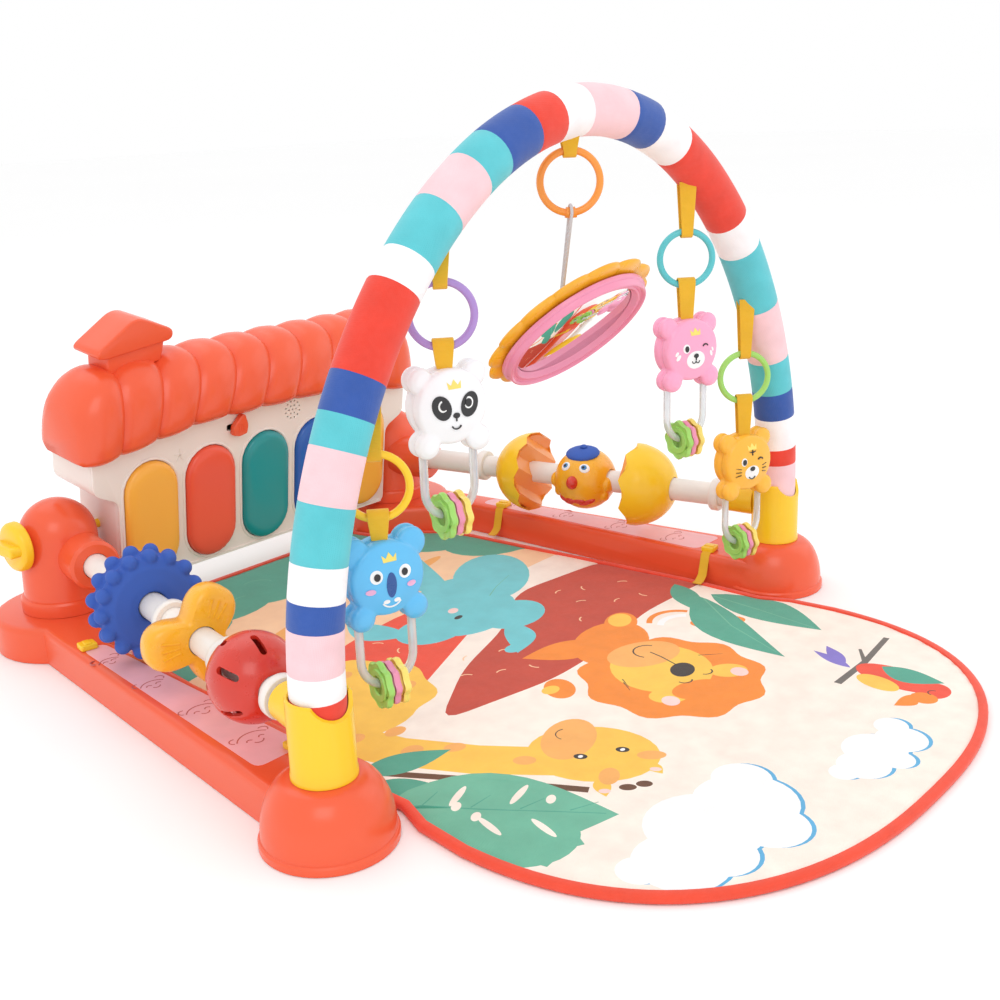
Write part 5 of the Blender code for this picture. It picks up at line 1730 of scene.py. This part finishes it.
    def giraffe(self, add: Callable[..., None]) -> None:
        """A giraffe's long neck and round head, laid along the left."""
        add(Colour.MAT_BROWN, stroke([(-0.215, 0.045), (-0.176, -0.020), (-0.134, -0.098)], 0.0070),
            oval(-0.116, -0.116, 0.0058, 0.0040, -50), oval(-0.106, -0.122, 0.0055, 0.0040, -50))
        add(Colour.MAT_GOLD, stroke([(-0.190, 0.100), (-0.176, 0.040), (-0.150, -0.012), (-0.115, -0.062)],
                0.040, 0.95),
            oval(-0.094, -0.071, 0.046, 0.038, -62), leaf((-0.082, -0.108), (-0.088, -0.124), 0.010),
            leaf((-0.118, -0.094), (-0.134, -0.112), 0.012), oval(-0.150, 0.105, 0.050, 0.040))
        add(Colour.MAT_TAN, oval(-0.088, -0.045, 0.030, 0.019, 25), oval(-0.146, 0.010, 0.008, 0.006, -30),
            oval(-0.168, 0.030, 0.009, 0.007), oval(-0.155, 0.060, 0.009, 0.006),
                oval(-0.130, -0.040, 0.008, 0.006, -50),
            oval(-0.112, -0.098, 0.011, 0.007, 30), oval(-0.072, -0.104, 0.010, 0.006, -50),
                oval(-0.180, 0.075, 0.008, 0.006))
        add(Colour.MAT_PINK, oval(-0.086, -0.117, 0.004, 0.0026, -60),
                oval(-0.129, -0.107, 0.004, 0.0028, -50))
        add(Colour.MAT_DARK, oval(-0.103, -0.067, 0.0048, 0.0036, -60),
                oval(-0.078, -0.084, 0.0048, 0.0036, -60),
            stroke(arc(-0.084, -0.040, 0.008, 60, 190, 8), 0.0010, 0.6))
        add(Colour.MAT_WHITE, oval(-0.103, -0.067, 0.0020, 0.0016), oval(-0.078, -0.084, 0.0020, 0.0016))

    def plants(self, add: Callable[..., None]) -> None:
        """Leaves on both sides and the big cut leaf."""
        add(Colour.MAT_BUSH, leaf((0.200, 0.022), (0.186, -0.094), 0.046, 0.004),
                leaf((0.190, 0.030), (0.122, -0.096), 0.042, -0.014),
            leaf((0.202, 0.062), (0.160, 0.008), 0.024), leaf((-0.215, 0.035), (-0.150, 0.010), 0.026),
            leaf((-0.222, 0.020), (-0.190, -0.020), 0.022))
        add(Colour.MAT_LEAF, stroke([(0.198, 0.018), (0.194, -0.030), (0.187, -0.086)], 0.0014, 0.5),
            stroke([(0.188, 0.022), (0.150, -0.030), (0.126, -0.086)], 0.0014, 0.5),
            leaf((-0.228, -0.004), (-0.146, -0.131), 0.100, -0.006), oval(-0.200, -0.100, 0.034, 0.034),
            leaf((-0.200, -0.085), (-0.186, -0.135), 0.040), leaf((-0.195, -0.100), (-0.218, -0.132), 0.034))
        add(Colour.MAT_BUSH, stroke([(-0.225, -0.010), (-0.195, -0.058), (-0.150, -0.124)], 0.0018, 0.5),
            *[stroke([(-0.215 + 0.018 * k, -0.026 - 0.026 * k), (-0.196 + 0.018 * k, -0.022 - 0.030 * k)],
                0.0012, 0.5) for k in range(4)])
        add(Colour.MAT_CREAM, *[oval(x, y, 0.0130, 0.0026, a) for x, y, a in
                ((-0.192, -0.036, 20), (-0.166, -0.066, 15), (-0.206, -0.076, 75), (-0.187, -0.104, 75))],
            *[oval(x, y, 0.0055, 0.0032, 30) for x,
                y in ((-0.202, -0.044), (-0.158, -0.086), (-0.203, -0.062))])

    def sky(self, add: Callable[..., None]) -> None:
        """Two clouds with a blue edge and a parrot on a branch."""
        for lobes in (((-0.165, -0.190, 0.030), (-0.125, -0.180, 0.038), (-0.085, -0.185, 0.034),
                (-0.062, -0.168, 0.020),
                (-0.100, -0.212, 0.024), (-0.145, -0.205, 0.022), (-0.188, -0.176, 0.014)),
                ((0.002, -0.222, 0.018), (0.026, -0.218, 0.022), (0.050, -0.226, 0.018),
                (0.064, -0.212, 0.012),
                (-0.014, -0.216, 0.010), (0.022, -0.236, 0.012))):
            add(Colour.MAT_BLUE, *[oval(x + 0.0018, y - 0.0022, r, r) for x, y, r in lobes])
            add(Colour.MAT_WHITE, *[oval(x, y, r, r) for x, y, r in lobes])
        add(Colour.MAT_PURPLE, leaf((0.136, -0.140), (0.160, -0.112), 0.012),
                    leaf((0.134, -0.146), (0.146, -0.108), 0.010))
        add(Colour.MAT_GREY, stroke([(0.103, -0.151), (0.150, -0.150), (0.203, -0.143)], 0.0060, 0.8),
            stroke([(0.150, -0.150), (0.170, -0.136)], 0.0040, 0.6))
        add(Colour.MAT_RED, oval(0.138, -0.182, 0.017, 0.034, -6), oval(0.133, -0.212, 0.014, 0.013))
        add(Colour.MAT_GOLD, oval(0.122, -0.174, 0.010, 0.018, -12))
        add(Colour.MAT_ORANGE, oval(0.118, -0.212, 0.009, 0.010),
                leaf((0.118, -0.203), (0.094, -0.200), 0.014, 0.004))
        add(Colour.MAT_BUSH, leaf((0.150, -0.164), (0.150, -0.214), 0.024, -0.004))
        add(Colour.MAT_DARK, stroke(arc(0.130, -0.214, 0.004, 0, 180, 6), 0.0009))

    def height(self, x: float, y: float, edge: Sequence[tuple[Vector, Vector]]) -> float:
        """The padding's top, soft near the edge and gently uneven."""
        spot = Vector((x, y))
        gap = 1.0
        for a, b in edge:
            way = b - a
            t = min(1.0, max(0.0, (spot - a).dot(way) / way.length_squared))
            gap = min(gap, (spot - (a + way * t)).length)
        rim = min(1.0, gap / 0.012)
        puff = 0.00035 * noise.noise(Vector((x * 16.0, y * 16.0, 0.5)))
        return self.thick - 0.0006 - 0.0024 * (1.0 - rim) ** 2 + puff * rim

    def build(self) -> None:
        """Make the printed pad and its binding."""
        edge = self.outline()
        inner = self.outline(0.0012)
        shapes = self.art()
        outlines = [inner] + [outline for _, outline in shapes]
        verts: list[Vector] = []
        loops: list[list[int]] = []
        for outline in outlines:
            area = sum(a[0] * b[1] - b[0] * a[1] for a, b in zip(outline, outline[1:] + outline[:1]))
            loops.append(list(range(len(verts), len(verts) + len(outline))))
            verts += [Vector(p) for p in (outline if area > 0.0 else outline[::-1])]
        x = -self.half
        while x < self.half:
            y = -self.front
            while y < 0.43:
                verts.append(Vector((x + 0.0004, y + 0.0003)))
                y += self.grid
            x += self.grid
        points, _, faces, _, _, owners = delaunay_2d_cdt(verts, [], loops, 0, 1e-6, True)
        sides = [(Vector(a), Vector(b)) for a, b in zip(inner, inner[1:] + inner[:1])]
        bm = bmesh.new()
        made = [bm.verts.new((p.x, p.y, self.height(p.x, p.y, sides))) for p in points]
        finishes = [Colour.MAT_CREAM] + list(dict.fromkeys(f for f, _ in shapes if f is not Colour.MAT_CREAM))
        for face, own in zip(faces, owners):
            if 0 in own:
                top = max(own)
                finish = Colour.MAT_CREAM if top == 0 else shapes[top - 1][0]
                bm.faces.new([made[i] for i in face]).material_index = finishes.index(finish)
        bmesh.ops.delete(bm, geom=[v for v in bm.verts if not v.link_faces], context="VERTS")
        rim = [e for e in bm.edges if e.is_boundary]
        skirt = bmesh.ops.extrude_edge_only(bm, edges=rim)
        low = [v for v in skirt["geom"] if isinstance(v, bmesh.types.BMVert)]
        for v in low:
            v.co.z = 0.0004
        wall = [e for e in skirt["geom"] if isinstance(e, bmesh.types.BMEdge) and e.is_boundary]
        base = bmesh.ops.contextual_create(bm, geom=wall)
        for face in base["faces"]:
            face.material_index = 0
        pad = Piece("printed_pad", "stand", "mat_fabric", ("mat",), 50.0).make(bm, *finishes)
        self.bind(edge)

    def bind(self, edge: list[Point2]) -> None:
        """The red binding that wraps the mat's edge."""
        loops = []
        for i, spot in enumerate(edge):
            along = (Vector(edge[(i + 1) % len(edge)]) - Vector(edge[i - 1])).normalized()
            inward = Vector((-along.y, along.x, 0.0))
            at = Vector((*spot, 0.0))
            section = ((0.0000, 0.0010), (0.0000, 0.0044), (0.0012, 0.0057), (0.0040, 0.0062),
                    (0.0064, 0.0059),
                    (0.0068, 0.0048), (0.0060, 0.0006), (0.0010, 0.0002))
            loops.append([at + inward * u + Vector((0, 0, z)) for u, z in section])
        Piece("mat_binding", "stand", "mat_fabric", sharp=60.0).make(loft(loops, closed=True), Colour.MAT_RED)


@dataclass
class Fastenings:
    """The yellow clips and elastic that tie the mat to the side bases."""

    spots: tuple[tuple[float, float, float], ...] = ((-0.2215, 0.318, 168.0), (0.2215, 0.046, 8.0),
            (-0.2255, 0.060, 176.0), (0.2130, 0.290, 12.0))

    def build(self) -> None:
        """Make each strap with its clip."""
        straps, clips = [], []
        for x, y, degrees in self.spots:
            place = shift(x, y, 0) @ turn(degrees, "Z")
            path = [Vector((-0.010, 0, 0.0068)), Vector((-0.004, 0, 0.0074)), Vector((0.002, 0, 0.0110)),
                    Vector((0.0050, 0, 0.0200)), Vector((0.0080, 0, 0.0290)), Vector((0.0125, 0, 0.0312)),
                    Vector((0.0220, 0, 0.0309))]
            band = ribbon(path, [0.0085] * len(path), 0.0009, Vector((0, 1, 0)))
            move(band, place)
            straps.append(band)
            clip = plate(soften([(0.0110, -0.0062), (0.0245, -0.0062), (0.0245, 0.0062), (0.0110, 0.0062)],
                    0.0022),
                    0.0302, 0.0348, bevel=0.0010)
            ridge = plate(soften([(0.0150, -0.0046), (0.0205, -0.0046), (0.0205, 0.0046), (0.0150, 0.0046)],
                    0.001),
                    0.0345, 0.0357, bevel=0.0005)
            for part in (clip, ridge):
                move(part, place)
                clips.append(part)
        Piece("mat_straps", "stand", "webbing", sharp=50.0).make(gather(straps), Colour.RIBBON, outward=False)
        Piece("mat_clips", "stand", "yellow_plastic", sharp=30.0).make(gather(clips), Colour.YELLOW,
                outward=False)


# ---- carried-over nodes and stage ---------------------------------------------------
def dress_inner_nodes() -> None:
    """Give the hidden works that stay as packed their own finishes."""
    for node, finish in (("arch_tube", Colour.SHAFT), ("battery_pack", Colour.BATTERY),
            ("circuit_board", Colour.BOARD),
            ("speaker", Colour.TINNED)):
        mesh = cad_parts[node].data
        for i in range(max(1, len(mesh.materials))):
            if i < len(mesh.materials):
                mesh.materials[i] = finish.value.material()
            else:
                mesh.materials.append(finish.value.material())


@dataclass
class Studio:
    """A pale floor, soft light and the camera."""

    floor_size: float = 12.0
    floor_drop: float = 0.0005
    room_light: float = 1.0
    lamp_aim: tuple[float, float, float] = (0.0, 0.1, 0.1)
    sensor: float = 36.0
    camera_at: tuple[float, float, float] = (-0.7098, -0.5499, 0.4329)
    lens: float = 45.87
    heading: float = 0.8366
    dip: float = 0.3038
    roll: float = -0.0381

    def build(self) -> None:
        """Set everything up."""
        self.floor()
        self.lights()
        self.camera()

    def floor(self) -> None:
        """A broad matt floor just under the mat."""
        bm = bmesh.new()
        bmesh.ops.create_grid(bm, x_segments=1, y_segments=1, size=self.floor_size)
        bmesh.ops.translate(bm, verts=bm.verts, vec=(0, 0, -self.floor_drop))
        mesh = bpy.data.meshes.new("floor")
        bm.to_mesh(mesh)
        bm.free()
        paint = bpy.data.materials.new("floor_white")
        paint.use_nodes = True
        work = Shading(paint.node_tree)
        pale, white = (0.985, 0.985, 0.985, 1), (1.0, 1.0, 1.0, 1)
        work.feed(work.shader.inputs["Base Color"], work.blend(work.grain(0.6), pale, white))
        work.shader.inputs["Roughness"].default_value = 0.9
        mesh.materials.append(paint)
        obj = bpy.data.objects.new("floor", mesh)
        bpy.context.scene.collection.objects.link(obj)

    def lights(self) -> None:
        """An even bright room and three soft lamps."""
        world = bpy.context.scene.world or bpy.data.worlds.new("room")
        bpy.context.scene.world = world
        world.use_nodes = True
        sky = world.node_tree.nodes.get("Background")
        sky.inputs["Color"].default_value = (1.0, 1.0, 1.0, 1.0)
        sky.inputs["Strength"].default_value = self.room_light
        for name, at, size, power in (("key_lamp", (-1.6, -1.2, 1.9), 1.3, 10.0),
                ("fill_lamp", (1.8, -0.8, 1.4), 1.6, 4.0),
                ("top_lamp", (0.1, 1.3, 2.0), 1.6, 5.0)):
            lamp = bpy.data.lights.new(name, "AREA")
            lamp.size, lamp.energy = size, power
            obj = bpy.data.objects.new(name, lamp)
            way = (Vector(self.lamp_aim) - Vector(at)).to_track_quat("-Z", "Y")
            obj.matrix_world = Matrix.Translation(at) @ way.to_matrix().to_4x4()
            bpy.context.scene.collection.objects.link(obj)

    def camera(self) -> None:
        """The camera, from the front left and a little above."""
        ch, sh = math.cos(self.heading), math.sin(self.heading)
        ce, se = math.cos(self.dip), math.sin(self.dip)
        look = Vector((sh * ce, ch * ce, -se))
        right = look.cross(Vector((0, 0, 1))).normalized()
        up = right.cross(look)
        c, s = math.cos(self.roll), math.sin(self.roll)
        axis_x, axis_y = right * c + up * s, up * c - right * s
        matrix = Matrix((axis_x, axis_y, -look)).transposed().to_4x4()
        matrix.translation = self.camera_at
        lens = bpy.data.cameras.new("camera")
        lens.lens, lens.sensor_width, lens.clip_start = self.lens, self.sensor, 0.01
        obj = bpy.data.objects.new("camera", lens)
        obj.matrix_world = matrix
        bpy.context.scene.collection.objects.link(obj)
        bpy.context.scene.camera = obj


def main() -> None:
    """Build the gym in order and report each piece."""
    logging.basicConfig(level=logging.INFO, format="%(name)s: %(message)s")
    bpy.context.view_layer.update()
    bpy.context.scene.view_settings.view_transform = "Standard"
    Studio().build()
    mirror = HangingMirror()
    mirror.build()
    left, right = SideBase(-1), SideBase(1)
    for base in (left, right):
        base.build()
        base.build_knob()
    PlayMat().build()
    Fastenings().build()
    Arch().build()
    for toy in TOYS:
        toy.build()
    Piano().build()
    Spinners(left, right).build()
    dress_inner_nodes()


if __name__ == "__main__":
    main()
